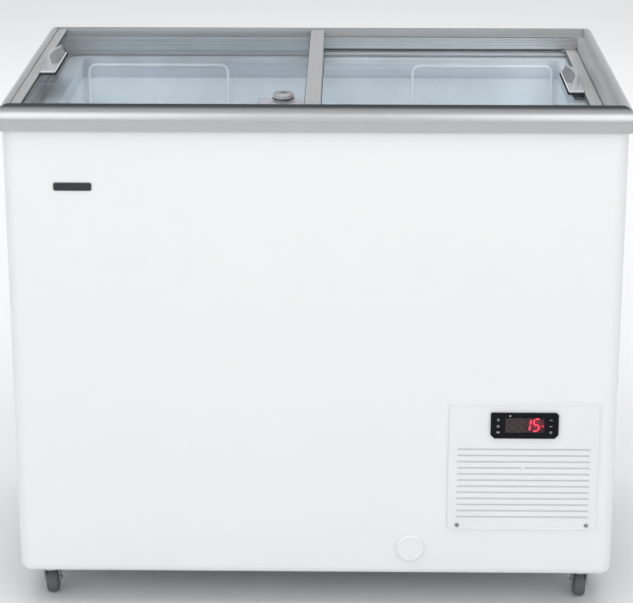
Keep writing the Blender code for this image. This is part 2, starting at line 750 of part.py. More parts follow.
def build_upper_lid():
    glass_top, top, bottom = lid_levels(UPPER_GLASS_DEPTH, RIM_SHELF_UP_DEPTH)
    half = UPPER_LID_HALF_Y
    inner = UPPER_END_X + UPPER_FRAME_WIDE
    end = prism_y(channel(UPPER_END_X, inner, top, bottom, glass_top), -half, half)
    soften(piece("upper_lid_end_frame", "lid_frame_plastic", end), 0.0008)
    low, high = glass_top - GLASS, glass_top
    left, right = glass_edge(UPPER_END_X, inner), glass_edge(MEET_RIGHT, MEET_LEFT)
    glass = piece("upper_lid_glass", "lid_glass", box((left, -half, low), (right, half, high)))
    cut(glass, rod(LOCK_NECK + GAP, GLASS + 2 * OVER, "Z", (LOCK_X, LOCK_Y, low - OVER), 24))
    build_upper_meeting(glass_top, top, bottom)
    build_handle("upper_lid", UPPER_HANDLE_X, UPPER_HANDLE_Y, -1, glass_top)


def build_upper_meeting(glass_top, top, bottom):
    """Bar at the free edge of the upper lid, with a skirt that closes the gap to the lower lid."""
    half = UPPER_LID_HALF_Y
    bar = prism_y(channel(MEET_RIGHT, MEET_LEFT, top, bottom, glass_top), -half, half)
    meeting = piece("upper_lid_meeting_bar", "lid_frame_plastic", bar)
    skirt_low = below_rim(LOWER_GLASS_DEPTH) + FRAME_PROUD + SKIRT_CLEAR
    skirt_half = LOWER_LID_HALF_Y
    skirt = box((MEET_RIGHT - SKIRT_THICK, -skirt_half, skirt_low), (MEET_RIGHT, skirt_half, bottom + 0.001))
    join(meeting, skirt)
    soften(meeting, 0.0008)


def build_lower_lid():
    glass_top, top, bottom = lid_levels(LOWER_GLASS_DEPTH, RIM_SHELF_LOW_DEPTH)
    half = LOWER_LID_HALF_Y
    inner = LOWER_END_X - LOWER_FRAME_WIDE
    end = prism_y(channel(LOWER_END_X, inner, top, bottom, glass_top), -half, half)
    soften(piece("lower_lid_end_frame", "lid_frame_plastic", end), 0.0008)
    bar = prism_y(channel(MEET_LEFT, MEET_RIGHT, top, bottom, glass_top), -half, half)
    soften(piece("lower_lid_meeting_bar", "lid_frame_plastic", bar), 0.0008)
    left, right = glass_edge(MEET_LEFT, MEET_RIGHT), glass_edge(LOWER_END_X, inner)
    sheet = box((left, -half, glass_top - GLASS), (right, half, glass_top))
    piece("lower_lid_glass", "lid_glass", sheet)
    build_handle("lower_lid", LOWER_HANDLE_X, LOWER_HANDLE_Y, 1, glass_top)


def smooth_step(value):
    value = min(max(value, 0.0), 1.0)
    return value * value * (3 - 2 * value)


def handle_height(across, along):
    """Height of the handle at a share of its width from the inner edge and of its length."""
    rise = smooth_step(along / HANDLE_RISE)
    fall = (HANDLE_HIGH - HANDLE_REAR_HIGH) * max(along - HANDLE_RISE, 0.0) / (1 - HANDLE_RISE)
    peak = HANDLE_LIP + (HANDLE_HIGH - HANDLE_LIP) * rise - fall
    crest = 0.12 + 0.62 * smooth_step((along - 0.04) / 0.30) - 0.45 * smooth_step((along - 0.55) / 0.45)
    if across < crest:
        return HANDLE_LIP + (peak - HANDLE_LIP) * (across / crest) ** HANDLE_RIDGE_POWER
    drop = HANDLE_BACK_DROP * (peak - HANDLE_LIP) * ((across - crest) / (1 - crest)) ** HANDLE_BACK_POWER
    return peak - drop


def build_handle(lid, inner_x, middle_y, side, glass_top):
    """A scooped finger grip on a thin dark pad. side is +1 where the grip leans towards +X."""
    pad_low = glass_top + GAP
    pad_top = pad_low + HANDLE_PAD
    low = pad_top + GAP
    front = middle_y - HANDLE_LONG / 2
    rows, columns = 10, 6
    mesh = bmesh.new()
    tops, feet = [], []
    for i in range(rows + 1):
        along = i / rows
        y = front + HANDLE_LONG * along
        spots = [(inner_x + side * HANDLE_WIDE * j / columns, j / columns) for j in range(columns + 1)]
        tops.append([mesh.verts.new((x, y, low + handle_height(share, along))) for x, share in spots])
        feet.append([mesh.verts.new((x, y, low)) for x, share in spots])
    close_height_field(mesh, tops, feet)
    piece(f"{lid}_handle", "grey_plastic", mesh, smooth=50)
    outer_x = inner_x + side * HANDLE_WIDE
    edge_x = inner_x - side * HANDLE_PAD
    x0, x1 = sorted((edge_x, outer_x))
    pad = box((x0, front - HANDLE_PAD, pad_low), (x1, front + HANDLE_LONG, pad_top))
    piece(f"{lid}_handle_pad", "black_rubber", pad)


def close_height_field(mesh, tops, feet):
    rows, columns = len(tops) - 1, len(tops[0]) - 1
    for i in range(rows):
        for j in range(columns):
            mesh.faces.new((tops[i][j], tops[i][j + 1], tops[i + 1][j + 1], tops[i + 1][j]))
            mesh.faces.new((feet[i][j], feet[i + 1][j], feet[i + 1][j + 1], feet[i][j + 1]))
        for j in (0, columns):
            mesh.faces.new((tops[i][j], tops[i + 1][j], feet[i + 1][j], feet[i][j]))
    for j in range(columns):
        for i in (0, rows):
            mesh.faces.new((tops[i][j], feet[i][j], feet[i][j + 1], tops[i][j + 1]))


def build_lock():
    glass_top = below_rim(UPPER_GLASS_DEPTH)
    seat, under = glass_top + GAP, glass_top - GLASS - GAP
    top, nut = seat + LOCK_HIGH, under - LOCK_NUT
    edge, nut_radius = LOCK_EDGE, LOCK_NECK + LOCK_NUT_PROUD
    outline = [(LOCK_BORE, nut), (nut_radius, nut), (nut_radius, under), (LOCK_NECK, under),
               (LOCK_NECK, seat), (LOCK_RADIUS, seat), (LOCK_RADIUS, top - edge),
               (LOCK_RADIUS - edge * 0.3, top - edge * 0.3), (LOCK_RADIUS - edge, top), (LOCK_BORE, top)]
    centre = (LOCK_X, LOCK_Y, 0)
    piece("lock_body", "grey_plastic", turned_ring(outline, 20, "Z", centre), smooth=35)
    radius = LOCK_BORE - GAP
    cam_top = nut - GAP
    cam_low = cam_top - CAM_THICK
    plug = [(0, cam_low), (radius, cam_low), (radius, top - 0.0004), (radius - 0.0005, top), (0, top)]
    cylinder = piece("lock_cylinder", "steel", turned(plug, 20, "Z", centre), (LOCK_X, LOCK_Y, top), 35)
    cam = box((LOCK_X - CAM_REACH, LOCK_Y - CAM_HALF, cam_low), (LOCK_X, LOCK_Y + CAM_HALF, cam_top))
    join(cylinder, cam)
    half_x, half_y = KEYWAY_HALF
    keyway = box((LOCK_X - half_x, LOCK_Y - half_y, top - KEYWAY_DEEP),
                 (LOCK_X + half_x, LOCK_Y + half_y, top + OVER))
    cut(cylinder, keyway)


# ---------------------------------------------------------------- grille, controller and drain


def build_grille():
    outline = rounded(PANEL_X[0], BASE_Z + PANEL_Z[0], PANEL_X[1], BASE_Z + PANEL_Z[1], PANEL_CORNER)
    panel = piece("grille_panel", "white_plastic", prism_y(outline, PANEL_FRONT, PANEL_BACK))
    slots = bmesh.new()
    for i in range(SLOT_COUNT):
        z = BASE_Z + SLOT_Z + i * SLOT_PITCH - SLOT_HIGH / 2
        add(slots, box((SLOT_X[0], PANEL_FRONT - OVER, z), (SLOT_X[1], PANEL_BACK + OVER, z + SLOT_HIGH)))
    inset = CONTROL_BODY_INSET - GAP
    window = box((CONTROL_X[0] + inset, PANEL_FRONT - OVER, BASE_Z + CONTROL_Z[0] + inset),
                 (CONTROL_X[1] - inset, PANEL_BACK + OVER, BASE_Z + CONTROL_Z[1] - inset))
    holes = [screw_hole(x) for x in SCREW_X]
    cut(panel, slots, window, *holes)
    for side, x in zip(("left", "right"), SCREW_X):
        build_screw(f"grille_screw_{side}", x)


def build_screw(name, x):
    """Pan head on the panel, with its shank through the panel and the steel."""
    seat = PANEL_FRONT - GAP
    head = SCREW_HEAD_HIGH
    reach = PANEL_THICK + SHEET + 3 * GAP + SCREW_REACH
    profile = [(0, -head), (SCREW_HEAD * 0.6, -head), (SCREW_HEAD * 0.9, -head * 0.6), (SCREW_HEAD, 0),
               (SCREW_SHANK, 0), (SCREW_SHANK, reach), (0, reach)]
    body = piece(name, "steel", turned(profile, 18, "Y", (x, seat, BASE_Z + SCREW_Z)), smooth=40)
    z = BASE_Z + SCREW_Z
    for wide, high in ((CROSS_LONG, CROSS_WIDE), (CROSS_WIDE, CROSS_LONG)):
        cut(body, box((x - wide, seat - head - OVER, z - high), (x + wide, seat - head + CROSS_DEEP, z + high)))


def build_controller():
    x0, x1 = CONTROL_X
    z0, z1 = BASE_Z + CONTROL_Z[0], BASE_Z + CONTROL_Z[1]
    cant = CONTROL_CORNER
    outline = [(x0 + cant, z0), (x1 - cant, z0), (x1, z0 + cant), (x1, z1 - cant * 0.6), (x1 - cant * 0.6, z1),
               (x0 + cant * 0.3, z1), (x0, z1 - cant * 0.3), (x0, z0 + cant)]
    housing = piece("controller_housing", "black_plastic", prism_y(outline, BEZEL_FRONT, BEZEL_BACK))
    inset = CONTROL_BODY_INSET
    join(housing, box((x0 + inset, BEZEL_BACK - 0.0005, z0 + inset),
                      (x1 - inset, BEZEL_BACK + CONTROL_BODY_DEEP, z1 - inset)))
    lens_back = BEZEL_FRONT + WINDOW_DEEP
    window = box((WINDOW_X[0], BEZEL_FRONT - OVER, BASE_Z + WINDOW_Z[0]),
                 (WINDOW_X[1], lens_back, BASE_Z + WINDOW_Z[1]))
    pockets = bmesh.new()
    for x in KEY_X:
        for z in KEY_Z:
            add(pockets, key_block(x, z, GAP, BEZEL_FRONT - OVER, BEZEL_FRONT + KEY_POCKET))
    cut(housing, window, pockets)
    lens = box((WINDOW_X[0] + GAP, BEZEL_FRONT + GAP, BASE_Z + WINDOW_Z[0] + GAP),
               (WINDOW_X[1] - GAP, lens_back - GAP, BASE_Z + WINDOW_Z[1] - GAP))
    piece("display_lens", "dark_lens", lens)
    build_keys()


def key_block(x, z, grow, y0, y1):
    half_x, half_z = KEY_SIZE[0] / 2 + grow, KEY_SIZE[1] / 2 + grow
    return prism_y(rounded(x - half_x, BASE_Z + z - half_z, x + half_x, BASE_Z + z + half_z,
                           0.0014 + grow, 2), y0, y1)


def build_keys():
    rows = ("top", "middle", "bottom")
    for side, x in zip(("left", "right"), KEY_X):
        for row, z in zip(rows, KEY_Z):
            front = BEZEL_FRONT - KEY_TRAVEL
            back = BEZEL_FRONT + KEY_POCKET - KEY_TRAVEL - GAP
            origin = (x, front, BASE_Z + z)
            item = piece(f"key_{side}_{row}", "black_plastic", key_block(x, z, 0.0, front, back), origin)
            soften(item, 0.0003, 1)


def drain_points(front):
    """Route of the drain from the liner's floor to the front of the body."""
    level = BASE_Z + DRAIN_Z
    return [(DRAIN_X_INSIDE, DRAIN_INLET_Y, BASE_Z + LINER_FLOOR - LINER_WALL - GAP),
            (DRAIN_X_INSIDE, DRAIN_INLET_Y, BASE_Z + LINER_FLOOR - LINER_WALL - 0.006),
            (DRAIN_X_INSIDE + 0.003, DRAIN_INLET_Y - 0.008, level + 0.004),
            (DRAIN_X_INSIDE + 0.012, DRAIN_INLET_Y - 0.024, level),
            (DRAIN_X - 0.003, -(HALF_Y - 0.055), level),
            (DRAIN_X, -(HALF_Y - 0.042), level),
            (DRAIN_X, front, level)]


def drain_route_body(radius, past):
    """The drain as a solid rod, for the passage through the insulation."""
    points = drain_points(BODY_FRONT - past)
    first = (points[0][0], points[0][1], points[0][2] + past)
    mesh = loft(rings_along([first] + points, radius, 12))
    bmesh.ops.recalc_face_normals(mesh, faces=mesh.faces)
    return mesh


def build_drain():
    points = drain_points(BODY_FRONT + SHEET + GAP)
    outer = rings_along(points, DRAIN_PIPE_RADIUS, 12)
    inner = rings_along(points, DRAIN_PIPE_BORE, 12)
    piece("drain_pipe", "white_plastic", loft(outer + inner[::-1], closed=True), smooth=50)
    seat = BODY_FRONT - GAP
    rim = DRAIN_CAP_THICK
    plug = DRAIN_PIPE_BORE - GAP
    profile = [(0, -rim), (DRAIN_CAP_RADIUS - 0.002, -rim), (DRAIN_CAP_RADIUS - 0.0006, -rim + 0.0006),
               (DRAIN_CAP_RADIUS, -rim + 0.002), (DRAIN_CAP_RADIUS, 0), (plug, 0), (plug, DRAIN_SPIGOT),
               (0, DRAIN_SPIGOT)]
    at = (DRAIN_X, seat, BASE_Z + DRAIN_Z)
    piece("drain_cap", "white_plastic", turned(profile, 28, "Y", at), at, 35)


# ---------------------------------------------------------------- machinery


def build_condenser():
    """Finned block that stands on the tray behind the grille."""
    y0, y1 = CONDENSER_Y
    x0, x1 = UNIT_X - CONDENSER_HALF, UNIT_X + CONDENSER_HALF
    pitch = (x1 - x0) / (2 * FIN_COUNT + 1)
    comb = [(x0, y1), (x0, y0)]
    for i in range(FIN_COUNT):
        left = x0 + pitch * (2 * i + 1)
        comb += [(left, y0), (left, y1 - FIN_BACK), (left + pitch, y1 - FIN_BACK), (left + pitch, y0)]
    comb += [(x1, y0), (x1, y1)]
    piece("condenser", "galvanised_steel", prism_z(comb, UNIT_FLOOR, UNIT_FLOOR + CONDENSER_HIGH))


def build_fan():
    centre_z = BASE_Z + FAN_Z
    x0, x1 = UNIT_X - CONDENSER_HALF, UNIT_X + CONDENSER_HALF
    plate = box((x0, SHROUD_Y, UNIT_FLOOR), (x1, SHROUD_Y + SHROUD_THICK, UNIT_FLOOR + CONDENSER_HIGH))
    shroud = piece("fan_shroud", "galvanised_steel", plate)
    cut(shroud, rod(SHROUD_HOLE, 4 * OVER, "Y", (UNIT_X, SHROUD_Y - 2 * OVER, centre_z), 48))
    hub_front = SHROUD_Y - FAN_AHEAD
    at = (UNIT_X, hub_front, centre_z)
    bore = FAN_SHAFT + GAP
    profile = [(bore, 0), (FAN_HUB, 0), (FAN_HUB, FAN_HUB_LONG), (bore, FAN_HUB_LONG)]
    fan = piece("fan_blade", "grey_plastic", turned_ring(profile, 30, "Y", at), at, 35)
    for number in range(FAN_BLADES):
        join(fan, fan_blade(number, at))
    motor_front = hub_front + FAN_HUB_LONG + MOTOR_CLEAR
    build_motor(motor_front, hub_front, centre_z)


def fan_blade(number, at):
    """One twisted blade that grows out of the hub."""
    loops = []
    for share in (0.0, 0.5, 1.0):
        root = FAN_HUB - BLADE_ROOT
        radius = root + (FAN_RADIUS - root) * share
        chord = BLADE_CHORD[0] + (BLADE_CHORD[1] - BLADE_CHORD[0]) * share
        pitch = math.radians(BLADE_PITCH[0] + (BLADE_PITCH[1] - BLADE_PITCH[0]) * share)
        half = BLADE_HALF_THICK
        corners = [(-chord / 2, -half), (chord / 2, -half), (chord / 2, half), (-chord / 2, half)]
        cos, sin = math.cos(pitch), math.sin(pitch)
        turned_pitch = [(a * cos - b * sin, a * sin * BLADE_FLATTEN + b * cos) for a, b in corners]
        loops.append([(a, FAN_HUB_LONG / 2 + b, radius) for a, b in turned_pitch])
    mesh = loft(loops)
    turn = Matrix.Rotation(2 * math.pi * number / FAN_BLADES, 4, "Y")
    bmesh.ops.transform(mesh, matrix=turn, verts=mesh.verts)
    bmesh.ops.translate(mesh, vec=Vector(at), verts=mesh.verts)
    bmesh.ops.recalc_face_normals(mesh, faces=mesh.faces)
    return mesh


def build_motor(front, hub_front, centre_z):
    """Motor on a foot, with its shaft through the fan's hub."""
    at = (UNIT_X, front, centre_z)
    shaft, edge = hub_front - front + MOTOR_SHAFT_OUT, MOTOR_EDGE
    profile = [(0, shaft), (FAN_SHAFT, shaft), (FAN_SHAFT, 0), (MOTOR_RADIUS - edge, 0), (MOTOR_RADIUS, edge),
               (MOTOR_RADIUS, MOTOR_LONG - edge), (MOTOR_RADIUS - edge, MOTOR_LONG), (0, MOTOR_LONG)]
    motor = piece("fan_motor", "steel", turned(profile, 24, "Y", at), smooth=35)
    middle = front + MOTOR_LONG / 2
    half_x, half_y = MOTOR_POST_HALF
    post = box((UNIT_X - half_x, middle - half_y, UNIT_FLOOR), (UNIT_X + half_x, middle + half_y, centre_z))
    join(motor, post)


def build_compressor():
    x, y = COMPRESSOR_AT
    radius, low = COMPRESSOR_RADIUS, UNIT_FLOOR + COMPRESSOR_LIFT
    high = low + COMPRESSOR_HIGH
    lower = arc((0, low + COMPRESSOR_BOWL), (radius, COMPRESSOR_BOWL), 270, 360, 5)
    upper = arc((0, high - COMPRESSOR_DOME), (radius, COMPRESSOR_DOME), 0, 90, 6)
    widths = (radius, radius + SEAM_PROUD, radius + SEAM_PROUD, radius)
    profile = lower + [(width, high - depth) for width, depth in zip(widths, SEAM_DEPTHS)] + upper
    profile = [(abs(r) if abs(r) > 1e-6 else 0.0, z) for r, z in profile]
    can = piece("compressor", "black_enamel", turned(profile, 20, "Z", (x, y, 0)), smooth=35)
    plate_low, half = low + FOOT_PLATE_LIFT, FOOT_PLATE_HALF
    join(can, box((x - half, y - half, plate_low), (x + half, y + half, plate_low + FOOT_PLATE_THICK)))
    for sign_x in (-1, 1):
        for sign_y in (-1, 1):
            foot = (x + sign_x * FOOT_AT, y + sign_y * FOOT_AT, UNIT_FLOOR)
            join(can, rod(FOOT_RADIUS, plate_low + 0.001 - UNIT_FLOOR, "Z", foot, 12))
    relay_x = x - radius - SEAM_PROUD - GAP
    relay = box((relay_x - RELAY_DEEP, y - RELAY_HALF_WIDE, low + RELAY_MARGINS[0]),
                (relay_x, y + RELAY_HALF_WIDE, high - RELAY_MARGINS[1]))
    soften(piece("relay_box", "black_plastic", relay), 0.002)


def build_pipes():
    """Filter on the compartment's wall, and the pipe from the compressor to the condenser."""
    radius = FILTER_RADIUS
    capsule = [(0, 0)] + [(radius * math.sin(t), FILTER_END * (1 - math.cos(t))) for t in
                          (math.pi / 6, math.pi / 3, math.pi / 2)]
    capsule += [(r, FILTER_LONG - h) for r, h in capsule[::-1]]
    at = (BAY_X + SHEET + GAP + radius, FILTER_AT[0], BASE_Z + FILTER_AT[1])
    piece("filter_drier", "copper", turned(capsule, 20, "Z", at), smooth=40)
    x, y = COMPRESSOR_AT
    turn = math.radians(PIPE_TURN)
    out = COMPRESSOR_RADIUS + PIPE_TOUCH
    start = Vector((x + out * math.cos(turn), y + out * math.sin(turn), UNIT_FLOOR + PIPE_START))
    reach = Vector((math.cos(turn), math.sin(turn), 0))
    lane = UNIT_X + CONDENSER_HALF + PIPE_LANE
    end_x = UNIT_X + CONDENSER_HALF + PIPE_TOUCH
    middle_y = (CONDENSER_Y[0] + CONDENSER_Y[1]) / 2 + FIN_BACK
    level = UNIT_FLOOR + PIPE_LEVEL
    knots = [start, start + reach * 0.018, (lane, y - 0.130, start.z + 0.010), (lane, -0.120, level),
             (lane, middle_y + 0.020, level), (lane - 0.004, middle_y + 0.003, level),
             (end_x + 0.004, middle_y, level), (end_x, middle_y, level)]
    route = smooth_route(knots, 3)
    piece("discharge_pipe", "copper", loft(rings_along(route, PIPE_RADIUS, 8)), smooth=50)


def build_power_inlet():
    """Cable gland through the rear panel. It is a nut, a collar and a sleeve with a bore."""
    inner = BODY_REAR - SHEET - GAP
    outer = BODY_REAR + GAP
    bore, wide = GLAND_BORE, GLAND_RADIUS + GLAND_FLANGE
    outline = [(bore, inner - GLAND_NUT_LONG), (wide, inner - GLAND_NUT_LONG), (wide, inner),
               (GLAND_RADIUS, inner), (GLAND_RADIUS, outer), (wide, outer),
               (wide, outer + GLAND_COLLAR_LONG), (GLAND_RADIUS - 0.001, outer + GLAND_OUT),
               (bore, outer + GLAND_OUT)]
    mesh = turned_ring(outline, 24, "Y", (GLAND_X, 0, BASE_Z + GLAND_Z))
    piece("power_inlet_gland", "black_plastic", mesh, smooth=35)


# ---------------------------------------------------------------- castors


def build_castors():
    for side, sign_x in (("left", -1), ("right", 1)):
        for end, sign_y in (("front", -1), ("rear", 1)):
            build_castor(f"{end}_{side}", sign_x * (HALF_X - CASTOR_INSET), sign_y * (HALF_Y - CASTOR_INSET))


def build_castor(tag, x, y):
    plate_top = BASE_Z - GAP
    plate_low = plate_top - CASTOR_PLATE_THICK
    half = CASTOR_PLATE / 2
    outline = rounded(x - half, y - half, x + half, y + half, CASTOR_PLATE_CORNER)
    piece(f"castor_plate_{tag}", "steel", prism_z(outline, plate_low, plate_top), (x, y, plate_top))
    build_fork(tag, x, y, plate_low - GAP)
    edge = WHEEL_EDGE
    wide, radius, bore = WHEEL_WIDE / 2, WHEEL_RADIUS, AXLE_RADIUS + GAP
    outline = [(bore, -wide), (radius - edge, -wide), (radius - edge * 0.3, -wide + edge * 0.3),
               (radius, -wide + edge), (radius, wide - edge), (radius - edge * 0.3, wide - edge * 0.3),
               (radius - edge, wide), (bore, wide)]
    at = (x, y + CASTOR_TRAIL, WHEEL_RADIUS)
    piece(f"castor_wheel_{tag}", "tyre_grey", turned_ring(outline, 20, "X", at), at, 35)


def build_fork(tag, x, y, top):
    """Swivel crown, two legs and the axle."""
    low = top - FORK_CROWN_HIGH
    profile = [(0, low), (FORK_CROWN - 0.002, low), (FORK_CROWN, low + 0.002), (FORK_CROWN, top - 0.001),
               (FORK_CROWN - 0.001, top), (0, top)]
    fork = piece(f"castor_fork_{tag}", "steel", turned(profile, 16, "Z", (x, y, 0)), (x, y, top), 35)
    inside = WHEEL_WIDE / 2 + LEG_CLEAR
    wheel_y, wheel_z = y + CASTOR_TRAIL, WHEEL_RADIUS
    side = [(y + end, low + LEG_UNDER_CROWN) for end in LEG_TOP]
    side += arc((wheel_y, wheel_z), (LEG_EYE, LEG_EYE), 20, -160, 6)
    for sign in (-1, 1):
        x0, x1 = x + sign * inside, x + sign * (inside + FORK_LEG)
        join(fork, loft([[(px, py, pz) for py, pz in side] for px in (x0, x1)]))
    reach = inside + FORK_LEG + AXLE_PROUD
    join(fork, rod(AXLE_RADIUS, 2 * reach, "X", (x - reach, wheel_y, wheel_z), 12))


# ---------------------------------------------------------------- whole cabinet


def main():
    clear_scene()
    build_shell()
    build_rear_panel()
    build_floor_plates()
    build_bay_lining()
    build_foam()
    build_liner()
    build_collar()
    build_rim()
    build_upper_lid()
    build_lower_lid()
    build_lock()
    build_grille()
    build_controller()
    build_drain()
    build_condenser()
    build_fan()
    build_compressor()
    build_pipes()
    build_power_inlet()
    build_castors()


main()
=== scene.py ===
"""Looks of an ice cream dipping cabinet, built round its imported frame.

Metres, +Z up, the front faces -Y. Each sub-assembly is a class that builds its pieces and dresses its nodes.
"""


import logging
import math
from dataclasses import dataclass, field
from enum import Enum
from typing import Callable, Iterable, Sequence, Union

import bmesh
import bpy
from mathutils import Matrix, Vector


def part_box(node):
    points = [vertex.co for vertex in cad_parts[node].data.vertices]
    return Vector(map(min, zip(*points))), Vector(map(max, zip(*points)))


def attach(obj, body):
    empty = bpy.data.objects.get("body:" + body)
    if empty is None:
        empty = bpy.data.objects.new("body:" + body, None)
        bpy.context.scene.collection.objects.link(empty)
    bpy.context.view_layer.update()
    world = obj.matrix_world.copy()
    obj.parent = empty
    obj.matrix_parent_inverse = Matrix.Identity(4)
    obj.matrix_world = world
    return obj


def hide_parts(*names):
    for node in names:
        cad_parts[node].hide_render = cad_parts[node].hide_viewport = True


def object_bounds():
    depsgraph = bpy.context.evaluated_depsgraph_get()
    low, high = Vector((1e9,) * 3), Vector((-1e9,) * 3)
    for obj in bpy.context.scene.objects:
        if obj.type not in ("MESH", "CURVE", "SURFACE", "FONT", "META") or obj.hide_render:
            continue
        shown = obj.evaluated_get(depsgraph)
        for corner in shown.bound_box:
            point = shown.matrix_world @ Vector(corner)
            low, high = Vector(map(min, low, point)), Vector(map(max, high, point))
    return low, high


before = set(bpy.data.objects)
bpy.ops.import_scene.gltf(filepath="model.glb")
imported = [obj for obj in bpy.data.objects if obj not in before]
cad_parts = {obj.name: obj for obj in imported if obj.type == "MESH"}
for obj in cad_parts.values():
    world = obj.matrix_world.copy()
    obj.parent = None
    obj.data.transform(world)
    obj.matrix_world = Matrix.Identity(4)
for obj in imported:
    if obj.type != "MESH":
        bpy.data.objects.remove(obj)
CAD_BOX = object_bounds()

LOG = logging.getLogger("dipping_cabinet")

Point = tuple[float, float, float]
Flat = tuple[float, float]
Colour = tuple[float, float, float]


class Axis(Enum):
    """A direction of the cabinet."""

    X = "X"
    Y = "Y"
    Z = "Z"


# ---------------------------------------------------------------- shader expressions


class Value:
    """A number socket that works in Python expressions."""

    def __init__(self, maker: "Maker", socket: bpy.types.NodeSocket) -> None:
        """Wraps a socket of a node tree."""
        self.maker = maker
        self.socket = socket

    def _math(self, operation: str, first: object, second: object = None, clamp: bool = False) -> "Value":
        """Adds a Math node.

        Args:
            operation: the node's operation.
            first: its first number or link.
            second: its second one, if it has one.
            clamp: whether the result is held between 0 and 1.

        Returns:
            The node's result.
        """
        sockets = {0: first} if second is None else {0: first, 1: second}
        made = self.maker.node("ShaderNodeMath", {"operation": operation, "use_clamp": clamp}, sockets)
        return Value(self.maker, made.outputs[0])

    def __add__(self, other: object) -> "Value":
        """self + other."""
        return self._math("ADD", self, other)

    def __radd__(self, other: object) -> "Value":
        """other + self."""
        return self._math("ADD", other, self)

    def __sub__(self, other: object) -> "Value":
        """self - other."""
        return self._math("SUBTRACT", self, other)

    def __rsub__(self, other: object) -> "Value":
        """other - self."""
        return self._math("SUBTRACT", other, self)

    def __mul__(self, other: object) -> "Value":
        """self * other."""
        return self._math("MULTIPLY", self, other)

    def __rmul__(self, other: object) -> "Value":
        """other * self."""
        return self._math("MULTIPLY", other, self)

    def __truediv__(self, other: object) -> "Value":
        """self / other."""
        return self._math("DIVIDE", self, other)

    def __pow__(self, power: float) -> "Value":
        """self to a power."""
        return self._math("POWER", self, power)

    def clamped(self) -> "Value":
        """The value held between 0 and 1."""
        return self._math("ADD", self, 0.0, clamp=True)

    def sine(self) -> "Value":
        """The sine of the value, in radians."""
        return self._math("SINE", self)

    def step(self, start: float, end: float) -> "Value":
        """A smooth step.

        Args:
            start: where the result is 0.
            end: where the result is 1.

        Returns:
            The step as a value.
        """
        made = self.maker.node("ShaderNodeMapRange", {"interpolation_type": "SMOOTHSTEP"},
                               {"Value": self, "From Min": start, "From Max": end})
        return Value(self.maker, made.outputs[0])


class Maker:
    """Builds the node tree of one material."""

    def __init__(self, tree: bpy.types.NodeTree) -> None:
        """Starts with an empty tree."""
        self.tree = tree
        tree.nodes.clear()

    @staticmethod
    def _find(sockets: Iterable[bpy.types.NodeSocket], key: Union[str, int]) -> bpy.types.NodeSocket:
        """Finds a socket by its place, its identifier or its name.

        Args:
            sockets: the inputs or outputs of a node.
            key: which one.

        Returns:
            The socket.
        """
        listed = list(sockets)
        if isinstance(key, int):
            return listed[key]
        for socket in listed:
            if socket.identifier == key:
                return socket
        return next(socket for socket in listed if socket.name == key and socket.enabled)

    def feed(self, socket: bpy.types.NodeSocket, given: object) -> None:
        """Links or sets one input.

        Args:
            socket: the input.
            given: a Value, an output socket, a number, a colour or a vector.
        """
        if isinstance(given, Value):
            self.tree.links.new(given.socket, socket)
        elif isinstance(given, bpy.types.NodeSocket):
            self.tree.links.new(given, socket)
        elif socket.type == "RGBA":
            socket.default_value = (*given, 1.0)
        else:
            socket.default_value = given

    def node(self, kind: str, settings: dict[str, object] | None = None,
             sockets: dict[Union[str, int], object] | None = None) -> bpy.types.Node:
        """Adds any node.

        Args:
            kind: the node's type.
            settings: its own settings, set first.
            sockets: values or links of its inputs.

        Returns:
            The node.
        """
        made = self.tree.nodes.new(kind)
        for key, setting in (settings or {}).items():
            setattr(made, key, setting)
        for key, given in (sockets or {}).items():
            self.feed(self._find(made.inputs, key), given)
        return made

    def spot(self) -> bpy.types.NodeSocket:
        """The place on the cabinet, which stays with a piece as it moves."""
        return self.node("ShaderNodeTexCoord").outputs["Object"]

    def part_of(self, vector: bpy.types.NodeSocket, axis: Axis) -> Value:
        """One component of a vector."""
        return Value(self, self.node("ShaderNodeSeparateXYZ", None, {0: vector}).outputs[axis.value])

    def scaled(self, vector: bpy.types.NodeSocket, scales: Point) -> bpy.types.NodeSocket:
        """A vector stretched along the axes."""
        return self.node("ShaderNodeVectorMath", {"operation": "MULTIPLY"}, {0: vector, 1: scales}).outputs[0]

    def noise(self, vector: bpy.types.NodeSocket, scale: float, detail: float = 2.0) -> Value:
        """Smooth noise between about 0.2 and 0.8."""
        made = self.node("ShaderNodeTexNoise", None, {"Vector": vector, "Scale": scale, "Detail": detail})
        return Value(self, made.outputs[0])

    def cells(self, vector: bpy.types.NodeSocket, scale: float, feature: str = "F1") -> bpy.types.Node:
        """Voronoi cells."""
        return self.node("ShaderNodeTexVoronoi", {"feature": feature}, {"Vector": vector, "Scale": scale})

    def blend(self, factor: object, low: object, high: object) -> bpy.types.NodeSocket:
        """Mixes two colours.

        Args:
            factor: share of the second colour.
            low: the first colour.
            high: the second colour.

        Returns:
            The mixed colour.
        """
        made = self.node("ShaderNodeMix", {"data_type": "RGBA"},
                         {"Factor_Float": factor, "A_Color": low, "B_Color": high})
        return self._find(made.outputs, "Result_Color")

    def bump(self, height: Value, strength: float, distance: float) -> bpy.types.NodeSocket:
        """A normal from a height."""
        made = self.node("ShaderNodeBump", None, {"Strength": strength, "Distance": distance, "Height": height})
        return made.outputs["Normal"]

    def principled(self, **sockets: object) -> bpy.types.NodeSocket:
        """A Principled shader, with underscores for spaces in its sockets' names."""
        named = {key.replace("_", " "): given for key, given in sockets.items()}
        return self.node("ShaderNodeBsdfPrincipled", None, named).outputs[0]

    def close(self, shader: bpy.types.NodeSocket) -> None:
        """Joins a shader to the output."""
        self.node("ShaderNodeOutputMaterial", None, {"Surface": shader})


# ---------------------------------------------------------------- finishes


